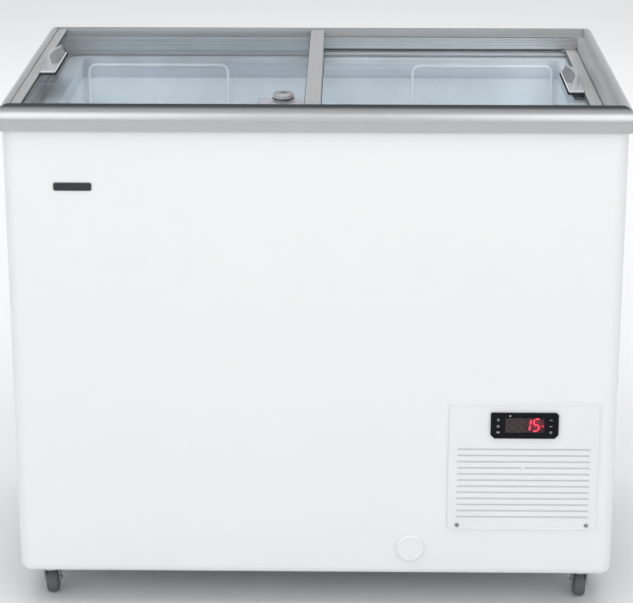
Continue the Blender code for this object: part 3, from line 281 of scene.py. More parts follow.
@dataclass(frozen=True)
class Finish:
    """A named finish of the cabinet. Each kind draws its own pattern."""

    name: str

    def shader(self, maker: Maker) -> bpy.types.NodeSocket:
        """Draws the finish.

        Args:
            maker: adds the nodes.

        Returns:
            The shader's output.
        """
        raise NotImplementedError

    def material(self) -> bpy.types.Material:
        """The material, made once for each finish.

        Returns:
            The material.
        """
        found = bpy.data.materials.get(self.name)
        if found is None:
            found = bpy.data.materials.new(self.name)
            found.use_nodes = True
            maker = Maker(found.node_tree)
            maker.close(self.shader(maker))
        return found


@dataclass(frozen=True)
class PaintedSheet(Finish):
    """Powder-painted steel with orange peel, and a trace of dust near the floor."""

    colour: Colour = (0.865, 0.865, 0.867)
    shade: Colour = (0.83, 0.832, 0.838)
    roughness: float = 0.36
    foot: Flat = (0.065, 0.16)

    def shader(self, maker: Maker) -> bpy.types.NodeSocket:
        """Draws the paint.

        Args:
            maker: adds the nodes.

        Returns:
            The shader's output.
        """
        spot = maker.spot()
        cloud = maker.noise(spot, 2.3, 3.0)
        low = 1.0 - maker.part_of(spot, Axis.Z).step(*self.foot)
        dust = low * maker.noise(maker.scaled(spot, (9.0, 9.0, 50.0)), 1.0, 4.0)
        peel = maker.noise(spot, 620.0, 2.0)
        tone = (cloud - 0.35) * 0.9 + dust * 0.5
        return maker.principled(
            Base_Color=maker.blend(tone.clamped(), self.colour, self.shade),
            Roughness=self.roughness + (maker.noise(spot, 34.0) - 0.5) * 0.10 + dust * 0.15,
            Metallic=0.0, Coat_Weight=0.15, Coat_Roughness=0.22,
            Normal=maker.bump(peel, 0.10, 0.0002))


@dataclass(frozen=True)
class BrushedMetal(Finish):
    """Metal with fine lines along one axis."""

    light: Colour = (0.655, 0.665, 0.675)
    dark: Colour = (0.60, 0.61, 0.62)
    roughness: float = 0.30
    along: Axis = Axis.X
    fine: float = 1300.0
    depth: float = 0.00001
    metal: float = 1.0

    def shader(self, maker: Maker) -> bpy.types.NodeSocket:
        """Draws the lines.

        Args:
            maker: adds the nodes.

        Returns:
            The shader's output.
        """
        spot = maker.spot()
        scales = tuple(4.0 if axis is self.along else self.fine for axis in Axis)
        lines = maker.noise(maker.scaled(spot, scales), 1.0, 3.0)
        broad = maker.noise(maker.scaled(spot, tuple(value * 0.1 for value in scales)), 1.0, 2.0)
        smears = maker.noise(spot, 14.0, 3.0)
        streak = (lines * 0.8 + broad * 0.2 - 0.2) * 1.5
        return maker.principled(
            Base_Color=maker.blend(streak.clamped(), self.dark, self.light),
            Roughness=self.roughness + (lines - 0.5) * 0.06 + (smears - 0.5) * 0.06,
            Metallic=self.metal, Normal=maker.bump(lines, 0.06, self.depth))


@dataclass(frozen=True)
class MouldedPlastic(Finish):
    """Moulded plastic or rubber with a fine grain and faint flow marks."""

    colour: Colour = (0.5, 0.5, 0.5)
    shade: Colour = (0.4, 0.4, 0.4)
    roughness: float = 0.42
    grain: float = 1500.0
    depth: float = 0.00006
    coat: float = 0.0
    gloss: float = 0.5

    def shader(self, maker: Maker) -> bpy.types.NodeSocket:
        """Draws the grain.

        Args:
            maker: adds the nodes.

        Returns:
            The shader's output.
        """
        spot = maker.spot()
        grain = Value(maker, maker.cells(spot, self.grain).outputs["Distance"])
        flow = maker.noise(maker.scaled(spot, (7.0, 3.0, 11.0)), 1.0, 3.0)
        dust = maker.noise(spot, 160.0, 4.0)
        tone = ((flow - 0.3) * 1.2 + (dust - 0.5) * 0.5).clamped()
        return maker.principled(
            Base_Color=maker.blend(tone, self.colour, self.shade),
            Roughness=self.roughness + (dust - 0.5) * 0.16,
            Metallic=0.0, Coat_Weight=self.coat, Coat_Roughness=0.15, Specular_IOR_Level=self.gloss,
            Normal=maker.bump(grain, 0.22, self.depth))


@dataclass(frozen=True)
class LinerSheet(Finish):
    """Pale sheet of the chest. It is darker above a set height, and there it carries fine horizontal lines that are
    painted reflections.
    """

    upper: Colour = (0.54, 0.585, 0.635)
    lower: Colour = (0.85, 0.90, 0.93)
    tone_split: float = 0.803
    roughness: float = 0.38

    def shader(self, maker: Maker) -> bpy.types.NodeSocket:
        """Draws the two zones.

        Args:
            maker: adds the nodes.

        Returns:
            The shader's output.
        """
        spot = maker.spot()
        # the colour steps to the darker upper tone above the split height
        zone = maker.part_of(spot, Axis.Z).step(self.tone_split - 0.0012, self.tone_split + 0.0012)
        # painted reflection: these fine horizontal lines tint only the upper zone's colour and stand in for
        # reflections seen in the lid glass; they also feed the bump
        lines = maker.noise(maker.scaled(spot, (1.5, 1.5, 190.0)), 1.0, 2.0)
        cloud = maker.noise(spot, 5.0, 3.0)
        frost = maker.noise(spot, 420.0, 3.0)
        upper = maker.blend((lines * 1.6 - 0.3).clamped(), tuple(value * 0.90 for value in self.upper),
                            tuple(value * 1.10 for value in self.upper))
        lower = maker.blend((cloud * 1.4 - 0.2).clamped(), tuple(value * 0.95 for value in self.lower),
                            tuple(value * 1.04 for value in self.lower))
        return maker.principled(
            Base_Color=maker.blend(zone, lower, upper),
            Roughness=self.roughness + (cloud - 0.5) * 0.12 + (frost - 0.5) * 0.08,
            Metallic=0.0, Coat_Weight=0.20, Coat_Roughness=0.25,
            Normal=maker.bump(frost * 0.6 + lines * 0.4, 0.14, 0.0003))


@dataclass(frozen=True)
class PaneGlass(Finish):
    """Clear tinted glass with faint wipe marks that only show in its gloss."""

    tint: Colour = (0.968, 0.982, 0.99)
    gloss: Colour = (0.92, 0.95, 0.98)

    def shader(self, maker: Maker) -> bpy.types.NodeSocket:
        """Draws clear glass under a thin gloss.

        Args:
            maker: adds the nodes.

        Returns:
            The shader's output.
        """
        spot = maker.spot()
        wipe = maker.noise(maker.scaled(spot, (16.0, 2.4, 1.0)), 1.0, 4.0)
        film = maker.noise(spot, 60.0, 3.0)
        clear = maker.node("ShaderNodeBsdfTransparent", None, {"Color": self.tint}).outputs[0]
        sheen = maker.principled(Base_Color=self.gloss, Metallic=1.0, Roughness=0.03 + film * 0.05)
        edge = Value(maker, maker.node("ShaderNodeFresnel", None, {"IOR": 1.30}).outputs[0])
        share = (edge * (0.48 + (wipe - 0.5) * 0.35)).clamped()
        return maker.node("ShaderNodeMixShader", None, {0: share, 1: clear, 2: sheen}).outputs[0]


@dataclass(frozen=True)
class Galvanised(Finish):
    """Zinc-coated sheet with spangles."""

    light: Colour = (0.62, 0.64, 0.66)
    dark: Colour = (0.47, 0.49, 0.51)
    roughness: float = 0.44
    spangle: float = 75.0

    def shader(self, maker: Maker) -> bpy.types.NodeSocket:
        """Draws the spangles.

        Args:
            maker: adds the nodes.

        Returns:
            The shader's output.
        """
        spot = maker.spot()
        cell = maker.cells(spot, self.spangle)
        tone = Value(maker, maker.node("ShaderNodeSeparateColor", None, {0: cell.outputs["Color"]}).outputs[0])
        haze = maker.noise(spot, 9.0, 3.0)
        return maker.principled(
            Base_Color=maker.blend((tone * 0.7 + haze * 0.3).clamped(), self.dark, self.light),
            Roughness=self.roughness + (tone - 0.5) * 0.18,
            Metallic=0.85, Normal=maker.bump(tone, 0.05, 0.0002))


@dataclass(frozen=True)
class TurnedMetal(Finish):
    """Cast, plated or turned metal with small pits and a cloudy plating."""

    light: Colour = (0.60, 0.60, 0.61)
    dark: Colour = (0.38, 0.38, 0.40)
    roughness: float = 0.30
    metal: float = 1.0
    pits: float = 700.0

    def shader(self, maker: Maker) -> bpy.types.NodeSocket:
        """Draws the plating.

        Args:
            maker: adds the nodes.

        Returns:
            The shader's output.
        """
        spot = maker.spot()
        pits = maker.noise(spot, self.pits, 3.0)
        cloud = maker.noise(spot, 45.0, 3.0)
        return maker.principled(
            Base_Color=maker.blend((cloud * 1.5 - 0.25).clamped(), self.dark, self.light),
            Roughness=self.roughness + (pits - 0.5) * 0.14 + (cloud - 0.5) * 0.12,
            Metallic=self.metal, Normal=maker.bump(pits, 0.12, 0.0002))


@dataclass(frozen=True)
class FoamedInsulation(Finish):
    """Rigid foam with open cells on its skin."""

    light: Colour = (0.80, 0.70, 0.44)
    dark: Colour = (0.62, 0.50, 0.26)

    def shader(self, maker: Maker) -> bpy.types.NodeSocket:
        """Draws the cells.

        Args:
            maker: adds the nodes.

        Returns:
            The shader's output.
        """
        spot = maker.spot()
        cell = Value(maker, maker.cells(spot, 420.0).outputs["Distance"])
        swirl = maker.noise(spot, 11.0, 4.0)
        return maker.principled(
            Base_Color=maker.blend((swirl * 1.2 - 0.1).clamped(), self.dark, self.light),
            Roughness=0.9 + (cell - 0.5) * 0.1, Metallic=0.0, Normal=maker.bump(cell, 0.5, 0.0008))


@dataclass(frozen=True)
class Glow(Finish):
    """A lit segment or lamp, a little uneven across its face; also the faint painted glow of the unlit segments."""

    colour: Colour = (1.0, 0.06, 0.10)
    power: float = 2.0
    body: Colour = (0.10, 0.01, 0.01)

    def shader(self, maker: Maker) -> bpy.types.NodeSocket:
        """Draws the light.

        Args:
            maker: adds the nodes.

        Returns:
            The shader's output.
        """
        spot = maker.spot()
        uneven = maker.noise(spot, 520.0, 2.0)
        lit = maker.blend((uneven * 1.4 - 0.2).clamped(), tuple(value * 0.82 for value in self.colour), self.colour)
        return maker.principled(Base_Color=self.body, Roughness=0.30 + uneven * 0.1, Metallic=0.0,
                                Emission_Color=lit, Emission_Strength=self.power)


@dataclass(frozen=True)
class Halo(Finish):
    """Dim light that scatters in the lens round the lit digits and fades with distance."""

    colour: Colour = (1.0, 0.02, 0.06)
    dark: Colour = (0.016, 0.013, 0.017)
    power: float = 0.22
    middle: Flat = (0.3685, 0.3440)
    reach: Flat = (0.0175, 0.0150)

    def shader(self, maker: Maker) -> bpy.types.NodeSocket:
        """Draws the fading light.

        Args:
            maker: adds the nodes.

        Returns:
            The shader's output.
        """
        spot = maker.spot()
        across = (maker.part_of(spot, Axis.X) - self.middle[0]) / self.reach[0]
        up = (maker.part_of(spot, Axis.Z) - self.middle[1]) / self.reach[1]
        near = 1.0 - (across * across + up * up).step(0.0, 1.0)
        return maker.principled(
            Base_Color=self.dark, Roughness=0.30 + maker.noise(spot, 300.0) * 0.05, Metallic=0.0,
            Specular_IOR_Level=0.3, Emission_Color=maker.blend(near, (0.0, 0.0, 0.0), self.colour),
            Emission_Strength=self.power)


@dataclass(frozen=True)
class PaleFloor(Finish):
    """Smooth pale studio floor."""

    colour: Colour = (0.80, 0.805, 0.81)
    horizon: Colour = (0.76, 0.765, 0.77)
    fade_from: float = 2.4
    fade_to: float = 6.5

    def shader(self, maker: Maker) -> bpy.types.NodeSocket:
        """Draws the floor, which fades into the horizon far from the cabinet.

        Args:
            maker: adds the nodes.

        Returns:
            The shader's output.
        """
        spot = maker.spot()
        cloud = maker.noise(spot, 1.4, 3.0)
        near = maker.principled(
            Base_Color=maker.blend(cloud, self.colour, tuple(value * 0.985 for value in self.colour)),
            Roughness=0.75 + (cloud - 0.5) * 0.1, Metallic=0.0)
        across, deep = maker.part_of(spot, Axis.X), maker.part_of(spot, Axis.Y)
        far = (across * across + deep * deep).step(self.fade_from ** 2, self.fade_to ** 2)
        glow = maker.node("ShaderNodeEmission", None, {"Color": self.horizon, "Strength": 1.0}).outputs[0]
        return maker.node("ShaderNodeMixShader", None, {0: far, 1: near, 2: glow}).outputs[0]


class Finishes:
    """Every finish of the cabinet, by what wears it."""

    BODY = PaintedSheet("body_paint")
    RIM_LONG = BrushedMetal("rim_aluminium_long", along=Axis.X)
    # painted light: the side rails are the same aluminium as the long ones, but this copy is less metallic, so their
    # tops read light grey instead of mirroring the dark sky
    RIM_SIDE_PAINTED_LIGHT = BrushedMetal("rim_aluminium_side_painted_light", (0.66, 0.665, 0.67), (0.60, 0.605, 0.61), 0.34, Axis.Y, metal=0.6)
    LID_FRAME = MouldedPlastic("lid_frame_grey", (0.37, 0.375, 0.38), (0.34, 0.345, 0.35), 0.40, 1700.0, 0.00004, 0.2)
    HANDLE = MouldedPlastic("handle_satin_grey", (0.40, 0.41, 0.43), (0.34, 0.35, 0.37), 0.32, 1600.0, 0.00004, 0.35)
    # painted shade: the scoop is the grip's own satin grey plastic, darkened to stand in for the shade on its inner
    # slope
    SCOOP_PAINTED_SHADE = MouldedPlastic("handle_scoop_painted_shade", (0.19, 0.195, 0.21), (0.16, 0.165, 0.18), 0.40, 1600.0, 0.00004, 0.2)
    # painted highlight: a pale copy of the handle plastic for the bead that stands in for the bright edge light round
    # the grip's foot
    GRIP_EDGE_PAINTED_HIGHLIGHT = MouldedPlastic("handle_edge_painted_highlight", (0.72, 0.73, 0.75), (0.66, 0.67, 0.69), 0.28, 1600.0, 0.00003, 0.4)
    # partly painted shadow: near-black rubber, darker than real rubber, so the pad's edge under the grip also stands
    # in for the shadow line there; also worn by the lock's foot ring and the compressor grommets
    PAD_RUBBER_AND_SHADOW = MouldedPlastic("pad_rubber", (0.004, 0.004, 0.005), (0.008, 0.008, 0.009), 0.62, 1100.0, 0.0001, gloss=0.1)
    SEAL = MouldedPlastic("seal_rubber", (0.055, 0.058, 0.062), (0.085, 0.088, 0.092), 0.60, 1200.0, 0.0001)
    FELT = MouldedPlastic("slide_felt", (0.10, 0.105, 0.11), (0.16, 0.165, 0.17), 0.95, 2300.0, 0.0003)
    GLASS = PaneGlass("lid_pane")
    LINER = LinerSheet("chest_liner")
    # painted highlight: the beads are pressed in the liner sheet but wear a lighter copy of its finish, standing in
    # for the light on their round tops
    BEAD_PAINTED_HIGHLIGHT = LinerSheet("chest_bead_painted_highlight", (0.90, 0.93, 0.95), (0.95, 0.96, 0.97), 0.803, 0.30)
    COLLAR = MouldedPlastic("collar_grey", (0.62, 0.66, 0.70), (0.56, 0.60, 0.64), 0.44)
    ZINC = Galvanised("galvanised_sheet")
    FINS = Galvanised("condenser_fins", (0.50, 0.52, 0.53), (0.33, 0.34, 0.36), 0.5, 140.0)
    FOAM = FoamedInsulation("foamed_insulation")
    GRILLE = MouldedPlastic("grille_white", (0.845, 0.845, 0.85), (0.82, 0.82, 0.826), 0.40, 1500.0, 0.00005, 0.1)
    # painted shade: the slats and hooks are the grille's own white plastic, darkened to stand in for the shade in the
    # slots
    SLAT_PAINTED_SHADE = MouldedPlastic("slat_painted_shade", (0.60, 0.60, 0.61), (0.56, 0.56, 0.57), 0.5)
    CAP = MouldedPlastic("cap_white", (0.86, 0.86, 0.865), (0.84, 0.84, 0.845), 0.38, 1500.0, 0.00005, 0.1)
    CONTROL = MouldedPlastic("control_black", (0.006, 0.0065, 0.008), (0.010, 0.011, 0.013), 0.5, 1500.0, gloss=0.12)
    KEY = MouldedPlastic("key_black", (0.007, 0.008, 0.009), (0.012, 0.012, 0.014), 0.5, 1400.0, gloss=0.15)
    LENS = MouldedPlastic("display_lens", (0.016, 0.013, 0.017), (0.020, 0.016, 0.021), 0.30, 300.0, 0.00001,
                          gloss=0.3)
    LIT = Glow("display_lit", (1.0, 0.045, 0.10), 1.5)
    # painted glow: the unlit segments emit a faint light, standing in for the light they catch behind the lens
    UNLIT_PAINTED_GLOW = Glow("display_unlit_painted_glow", (0.10, 0.07, 0.085), 0.16, (0.02, 0.015, 0.02))
    HALO = Halo("display_halo")
    LAMP = Glow("display_lamp", (0.95, 0.80, 0.62), 0.9, (0.3, 0.25, 0.2))
    MARK = MouldedPlastic("key_print", (0.62, 0.63, 0.65), (0.50, 0.51, 0.53), 0.5)
    LOCK = TurnedMetal("lock_plating", (0.56, 0.57, 0.58), (0.44, 0.45, 0.46), 0.34, 0.55)
    KEYWAY = TurnedMetal("lock_keyway", (0.30, 0.31, 0.32), (0.20, 0.205, 0.21), 0.34, 0.7)
    SCREW = TurnedMetal("screw_plating", (0.42, 0.42, 0.43), (0.24, 0.24, 0.25), 0.34)
    BADGE = BrushedMetal("badge_plate", (0.10, 0.10, 0.11), (0.05, 0.05, 0.055), 0.38, Axis.X)
    BADGE_EDGE = TurnedMetal("badge_edge", (0.55, 0.56, 0.57), (0.40, 0.41, 0.42), 0.30)
    LABEL = MouldedPlastic("blank_label", (0.72, 0.66, 0.69), (0.66, 0.52, 0.56), 0.55)
    ENAMEL = MouldedPlastic("compressor_enamel", (0.016, 0.016, 0.018), (0.03, 0.03, 0.03), 0.28, 500.0, 0.0002, 0.4)
    MOTOR = TurnedMetal("motor_steel", (0.50, 0.50, 0.50), (0.34, 0.34, 0.35), 0.36)
    COPPER = TurnedMetal("tube_copper", (0.78, 0.40, 0.24), (0.50, 0.23, 0.13), 0.30)
    FAN = MouldedPlastic("fan_plastic", (0.30, 0.31, 0.32), (0.24, 0.25, 0.26), 0.42)
    BLACK = MouldedPlastic("relay_black", (0.015, 0.015, 0.017), (0.03, 0.03, 0.032), 0.5)
    CASTOR = TurnedMetal("castor_plating", (0.62, 0.62, 0.63), (0.44, 0.44, 0.46), 0.32)
    TREAD = MouldedPlastic("castor_tread", (0.07, 0.07, 0.075), (0.11, 0.11, 0.115), 0.66, 900.0, 0.0002)
    CORE = MouldedPlastic("castor_core", (0.26, 0.265, 0.27), (0.20, 0.205, 0.21), 0.46)
    FLOOR = PaleFloor("studio_floor")


# ---------------------------------------------------------------- shapes


def arc(centre: Flat, radii: Flat, start: float, end: float, steps: int) -> list[Flat]:
    """Points of an arc.

    Args:
        centre: middle of the ellipse.
        radii: its two radii.
        start: first angle in degrees.
        end: last angle in degrees.
        steps: number of chords.

    Returns:
        The points, ends included.
    """
    turns = [math.radians(start + (end - start) * i / steps) for i in range(steps + 1)]
    return [(centre[0] + radii[0] * math.cos(turn), centre[1] + radii[1] * math.sin(turn)) for turn in turns]


def rounded(low: Flat, high: Flat, radius: float, steps: int = 6) -> list[Flat]:
    """A rectangle with round corners.

    Args:
        low: its lower left corner.
        high: its upper right corner.
        radius: of the corners.
        steps: chords in each corner.

    Returns:
        The outline, anticlockwise.
    """
    (x0, y0), (x1, y1) = low, high
    corners = ((x1 - radius, y0 + radius, -90), (x1 - radius, y1 - radius, 0),
               (x0 + radius, y1 - radius, 90), (x0 + radius, y0 + radius, 180))
    return [point for x, y, start in corners for point in arc((x, y), (radius, radius), start, start + 90, steps)]


def smooth_step(share: float) -> float:
    """A smooth step from 0 to 1."""
    share = min(max(share, 0.0), 1.0)
    return share * share * (3.0 - 2.0 * share)


class Shape:
    """Faces that are gathered for one piece, in the cabinet's own coordinates."""

    def __init__(self) -> None:
        """Starts with nothing."""
        self.mesh = bmesh.new()

    def loft(self, loops: Sequence[Sequence[Sequence[float]]], closed: bool = False) -> "Shape":
        """Joins loops of points.

        Args:
            loops: rings with the same number of points.
            closed: whether the last ring meets the first, in place of two end faces.

        Returns:
            The shape itself.
        """
        rings = [[self.mesh.verts.new(Vector(point)) for point in loop] for loop in loops]
        pairs = list(zip(rings, rings[1:]))
        if closed:
            pairs.append((rings[-1], rings[0]))
        else:
            self.mesh.faces.new(rings[0])
            self.mesh.faces.new(rings[-1])
        for one, two in pairs:
            for i in range(len(one)):
                j = (i + 1) % len(one)
                self.mesh.faces.new((one[i], one[j], two[j], two[i]))
        return self

    def prism(self, outline: Sequence[Flat], start: float, end: float, axis: Axis = Axis.Z) -> "Shape":
        """Carries an outline along an axis.

        Args:
            outline: points in the other two axes, in X, Y, Z order.
            start: first place on the axis.
            end: last place on the axis.
            axis: the direction.

        Returns:
            The shape itself.
        """
        put: dict[Axis, Callable[[Flat, float], Point]] = {
            Axis.X: lambda p, a: (a, p[0], p[1]),
            Axis.Y: lambda p, a: (p[0], a, p[1]),
            Axis.Z: lambda p, a: (p[0], p[1], a)}
        return self.loft([[put[axis](point, level) for point in outline] for level in (start, end)])

    def block(self, low: Point, high: Point) -> "Shape":
        """A plain block, to be rounded by the piece's bevel."""
        outline = [(low[0], low[1]), (high[0], low[1]), (high[0], high[1]), (low[0], high[1])]
        return self.prism(outline, low[2], high[2])

    def turned(self, profile: Sequence[Flat], centre: Point, axis: Axis = Axis.Z, steps: int = 48,
               ring: bool = False) -> "Shape":
        """A round body.

        Args:
            profile: (radius, height) points. They start and end on the axis unless it is a ring.
            centre: where height 0 lies.
            axis: the direction of the heights.
            steps: chords round it.
            ring: whether the profile is closed round a hole.

        Returns:
            The shape itself.
        """
        turn = {Axis.X: Matrix.Rotation(math.pi / 2, 4, "Y"), Axis.Y: Matrix.Rotation(-math.pi / 2, 4, "X"),
                Axis.Z: Matrix.Identity(4)}[axis]
        place = Matrix.Translation(Vector(centre)) @ turn
        points = list(profile) + (list(profile[:1]) if ring else [])
        rings = []
        for radius, height in points:
            angles = [2 * math.pi * i / steps for i in range(steps)] if radius > 1e-7 else [0.0]
            rings.append([self.mesh.verts.new(place @ Vector((radius * math.cos(a), radius * math.sin(a), height)))
                          for a in angles])
        for one, two in zip(rings, rings[1:]):
            for i in range(steps):
                j = (i + 1) % steps
                corners = (one[i % len(one)], one[j % len(one)], two[j % len(two)], two[i % len(two)])
                face = tuple(dict.fromkeys(corners))
                if len(face) > 2:
                    self.mesh.faces.new(face)
        return self

    def tube(self, route: Sequence[Point], radius: float, sides: int = 12, closed: bool = False) -> "Shape":
        """A round bar along a route.

        Args:
            route: its middle line.
            radius: of the bar.
            sides: round it.
            closed: whether the route is a loop.

        Returns:
            The shape itself.
        """
        points = [Vector(point) for point in route]
        count, side, loops = len(points), None, []
        for i, point in enumerate(points):
            ahead = points[(i + 1) % count] if closed else points[min(i + 1, count - 1)]
            behind = points[i - 1] if closed else points[max(i - 1, 0)]
            along = (ahead - behind).normalized()
            guess = side if side is not None else along.orthogonal()
            side = (guess - along * guess.dot(along)).normalized()
            other = along.cross(side)
            turns = [2 * math.pi * k / sides for k in range(sides)]
            loops.append([point + (side * math.cos(t) + other * math.sin(t)) * radius for t in turns])
        return self.loft(loops, closed)

    def field(self, rows: Sequence[Sequence[Point]], floor: float) -> "Shape":
        """A height field over a flat floor.

        Args:
            rows: points of the top.
            floor: height of the flat underside.

        Returns:
            The shape itself.
        """
        tops = [[self.mesh.verts.new(point) for point in row] for row in rows]
        feet = [[self.mesh.verts.new((x, y, floor)) for x, y, _ in row] for row in rows]
        last_row, last = len(rows) - 1, len(rows[0]) - 1
        for i in range(last_row):
            for j in range(last):
                self.mesh.faces.new((tops[i][j], tops[i][j + 1], tops[i + 1][j + 1], tops[i + 1][j]))
                self.mesh.faces.new((feet[i][j], feet[i + 1][j], feet[i + 1][j + 1], feet[i][j + 1]))
            for j in (0, last):
                self.mesh.faces.new((tops[i][j], tops[i + 1][j], feet[i + 1][j], feet[i][j]))
        for j in range(last):
            for i in (0, last_row):
                self.mesh.faces.new((tops[i][j], feet[i][j], feet[i][j + 1], tops[i][j + 1]))
        return self

    def piece(self, name: str, finish: Finish, body: str, slot: str, bevel: float = 0.0, smooth: float = 35.0,
              stands_for: Sequence[str] = ()) -> bpy.types.Object:
        """Makes the piece, which then rides on its body.

        Args:
            name: of the piece.
            finish: what it wears.
            body: what it moves with.
            slot: the record's material slot; not used.
            bevel: width of the round on its sharp edges.
            smooth: largest angle in degrees that is shaded smooth.
            stands_for: nodes that it replaces.

        Returns:
            The object.
        """
        bmesh.ops.remove_doubles(self.mesh, verts=self.mesh.verts, dist=1e-6)
        bmesh.ops.recalc_face_normals(self.mesh, faces=self.mesh.faces)
        data = bpy.data.meshes.new(name)
        self.mesh.to_mesh(data)
        self.mesh.free()
        data.shade_smooth()
        data.set_sharp_from_angle(angle=math.radians(smooth))
        data.materials.append(finish.material())
        item = bpy.data.objects.new(name, data)
        bpy.context.scene.collection.objects.link(item)
        if bevel:
            change = item.modifiers.new("rounded_edges", "BEVEL")
            change.width = bevel
            change.segments = 3
            change.limit_method = "ANGLE"
            change.angle_limit = math.radians(38.0)
        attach(item, body)
        if stands_for:
            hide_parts(*stands_for)
        LOG.info("piece %s on %s, %d faces", name, body, len(data.polygons))
        return item


def dress(finish: Finish, *nodes: str) -> None:
    """Gives CAD nodes a finish.

    Args:
        finish: what they wear.
        nodes: their names.
    """
    for name in nodes:
        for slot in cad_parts[name].material_slots:
            slot.material = finish.material()
        LOG.info("node %s wears %s", name, finish.name)


# ---------------------------------------------------------------- rim


@dataclass
class Rim:
    """Extruded metal rim of four mitred rails, with a rounded nose and two shelves for the lids."""

    half_x: float = CAD_BOX[1].x
    half_y: float = CAD_BOX[1].y
    top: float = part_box("rim_rail_front")[1].z
    nose: Flat = (0.0195, 0.0248)
    band: float = 0.0172
    land: float = 0.021
    upper_shelf: float = 0.015
    step: float = 0.033
    lower_shelf: float = 0.0488
    foot: Flat = (0.045, 0.052)
    tuck: float = 0.038
    corner: float = 0.006
    mitre: float = 0.00025
    groove: Flat = (0.0006, 0.0009)
    grooves: tuple[float, ...] = (0.0190, 0.0235, 0.0290, 0.0420)
    line: float = 0.0004

    def section(self) -> list[Flat]:
        """Section of a rail.

        Returns:
            The outline as (inset, height) points.
        """
        seam = self.top - self.nose[1]
        outline = [(0.0004, seam - self.band), (0.0, seam - self.band + 0.0004), (0.0, seam - self.line)]
        outline += [(self.line, seam - self.line / 2), (self.line, seam)]
        outline += arc((self.nose[0], seam), self.nose, 176, 90, 26)
        outline += [(self.land - 0.0006, self.top), (self.land, self.top - 0.0006)]
        outline += [(self.land, self.top - self.upper_shelf), (self.step - 0.0005, self.top - self.upper_shelf)]
        outline += [(self.step, self.top - self.upper_shelf - 0.0005)]
        deep, high = self.groove
        for depth in self.grooves:
            outline += [(self.step, self.top - depth + high), (self.step - deep, self.top - depth + high * 0.5),
                        (self.step - deep, self.top - depth - high * 0.5), (self.step, self.top - depth - high)]
        outline += [(self.step, self.top - self.lower_shelf), (self.foot[0], self.top - self.lower_shelf)]
        outline += [(self.foot[0], self.top - self.foot[1]), (self.tuck, self.top - self.foot[1])]
        outline += [(self.tuck, seam - self.band)]
        return outline

    def station(self, sign_x: int, sign_y: int, angle: float, shift: Flat, inset: float) -> Flat:
        """A place on a corner of the plan.

        Args:
            sign_x: side of the corner.
            sign_y: end of the corner.
            angle: direction from the corner's centre in degrees.
            shift: how far the mitre is held back.
            inset: distance inside the rim's outer face.

        Returns:
            The place as (x, y).
        """
        centre, left = max(self.corner, inset), max(self.corner - inset, 0.0)
        turn = math.radians(angle)
        return (sign_x * (self.half_x - centre) + left * math.cos(turn) + shift[0],
                sign_y * (self.half_y - centre) + left * math.sin(turn) + shift[1])

    def build(self) -> None:
        """Builds the four rails."""
        corners = ((-1, -1, 180), (1, -1, 270), (1, 1, 0), (-1, 1, 90))
        inward = ((1, 0), (0, 1), (-1, 0), (0, -1))
        section = self.section()
        for index, side in enumerate(("front", "right", "rear", "left")):
            ahead = (inward[index][0] * self.mitre, inward[index][1] * self.mitre)
            back = (-ahead[0], -ahead[1])
            loops = []
            for corner, start, end, shift in ((index, 45, 90, ahead), (index + 1, 0, 45, back)):
                sign_x, sign_y, base = corners[corner % 4]
                for i in range(7):
                    angle = base + start + (end - start) * i / 6
                    loops.append([(*self.station(sign_x, sign_y, angle, shift, inset), height)
                                  for inset, height in section])
            # the side rails wear the lighter, less metallic copy of the rim metal: painted light
            finish = Finishes.RIM_LONG if side in ("front", "rear") else Finishes.RIM_SIDE_PAINTED_LIGHT
            Shape().loft(loops).piece(f"rim_{side}", finish, "cabinet", "rim_aluminium", smooth=32.0,
                                      stands_for=[f"rim_rail_{side}"])
        self.build_tracks()

    def build_tracks(self) -> None:
        """Builds the felt strips that the lids slide on and the pale upper lining."""
        upper = self.top - self.upper_shelf
        lower = self.top - self.lower_shelf
        pale = Shape()
        for side in (-1, 1):
            wall = side * (self.half_y - self.land)
            ends = self.half_x - self.land - 0.001
            y0, y1 = sorted((wall - side * 0.0006, wall + side * 0.0002))
            pale.block((-ends, y0, upper + 0.0012), (ends, y1, self.top - 0.0010))
        pale.piece("upper_lining", Finishes.LID_FRAME, "cabinet", "rim_aluminium", bevel=0.0002)
        for name, inset, level in (("upper", self.step - 0.0055, upper), ("lower", self.foot[0] - 0.0035, lower)):
            strips = Shape()
            for side in (-1, 1):
                middle = side * (self.half_y - inset)
                reach = self.half_x - inset - 0.012
                strips.block((-reach, middle - 0.0010, level - 0.0004), (reach, middle + 0.0010, level + 0.00028))
            strips.piece(f"{name}_track_felt", Finishes.FELT, "cabinet", "lid_frame", bevel=0.0002)


# ---------------------------------------------------------------- lids


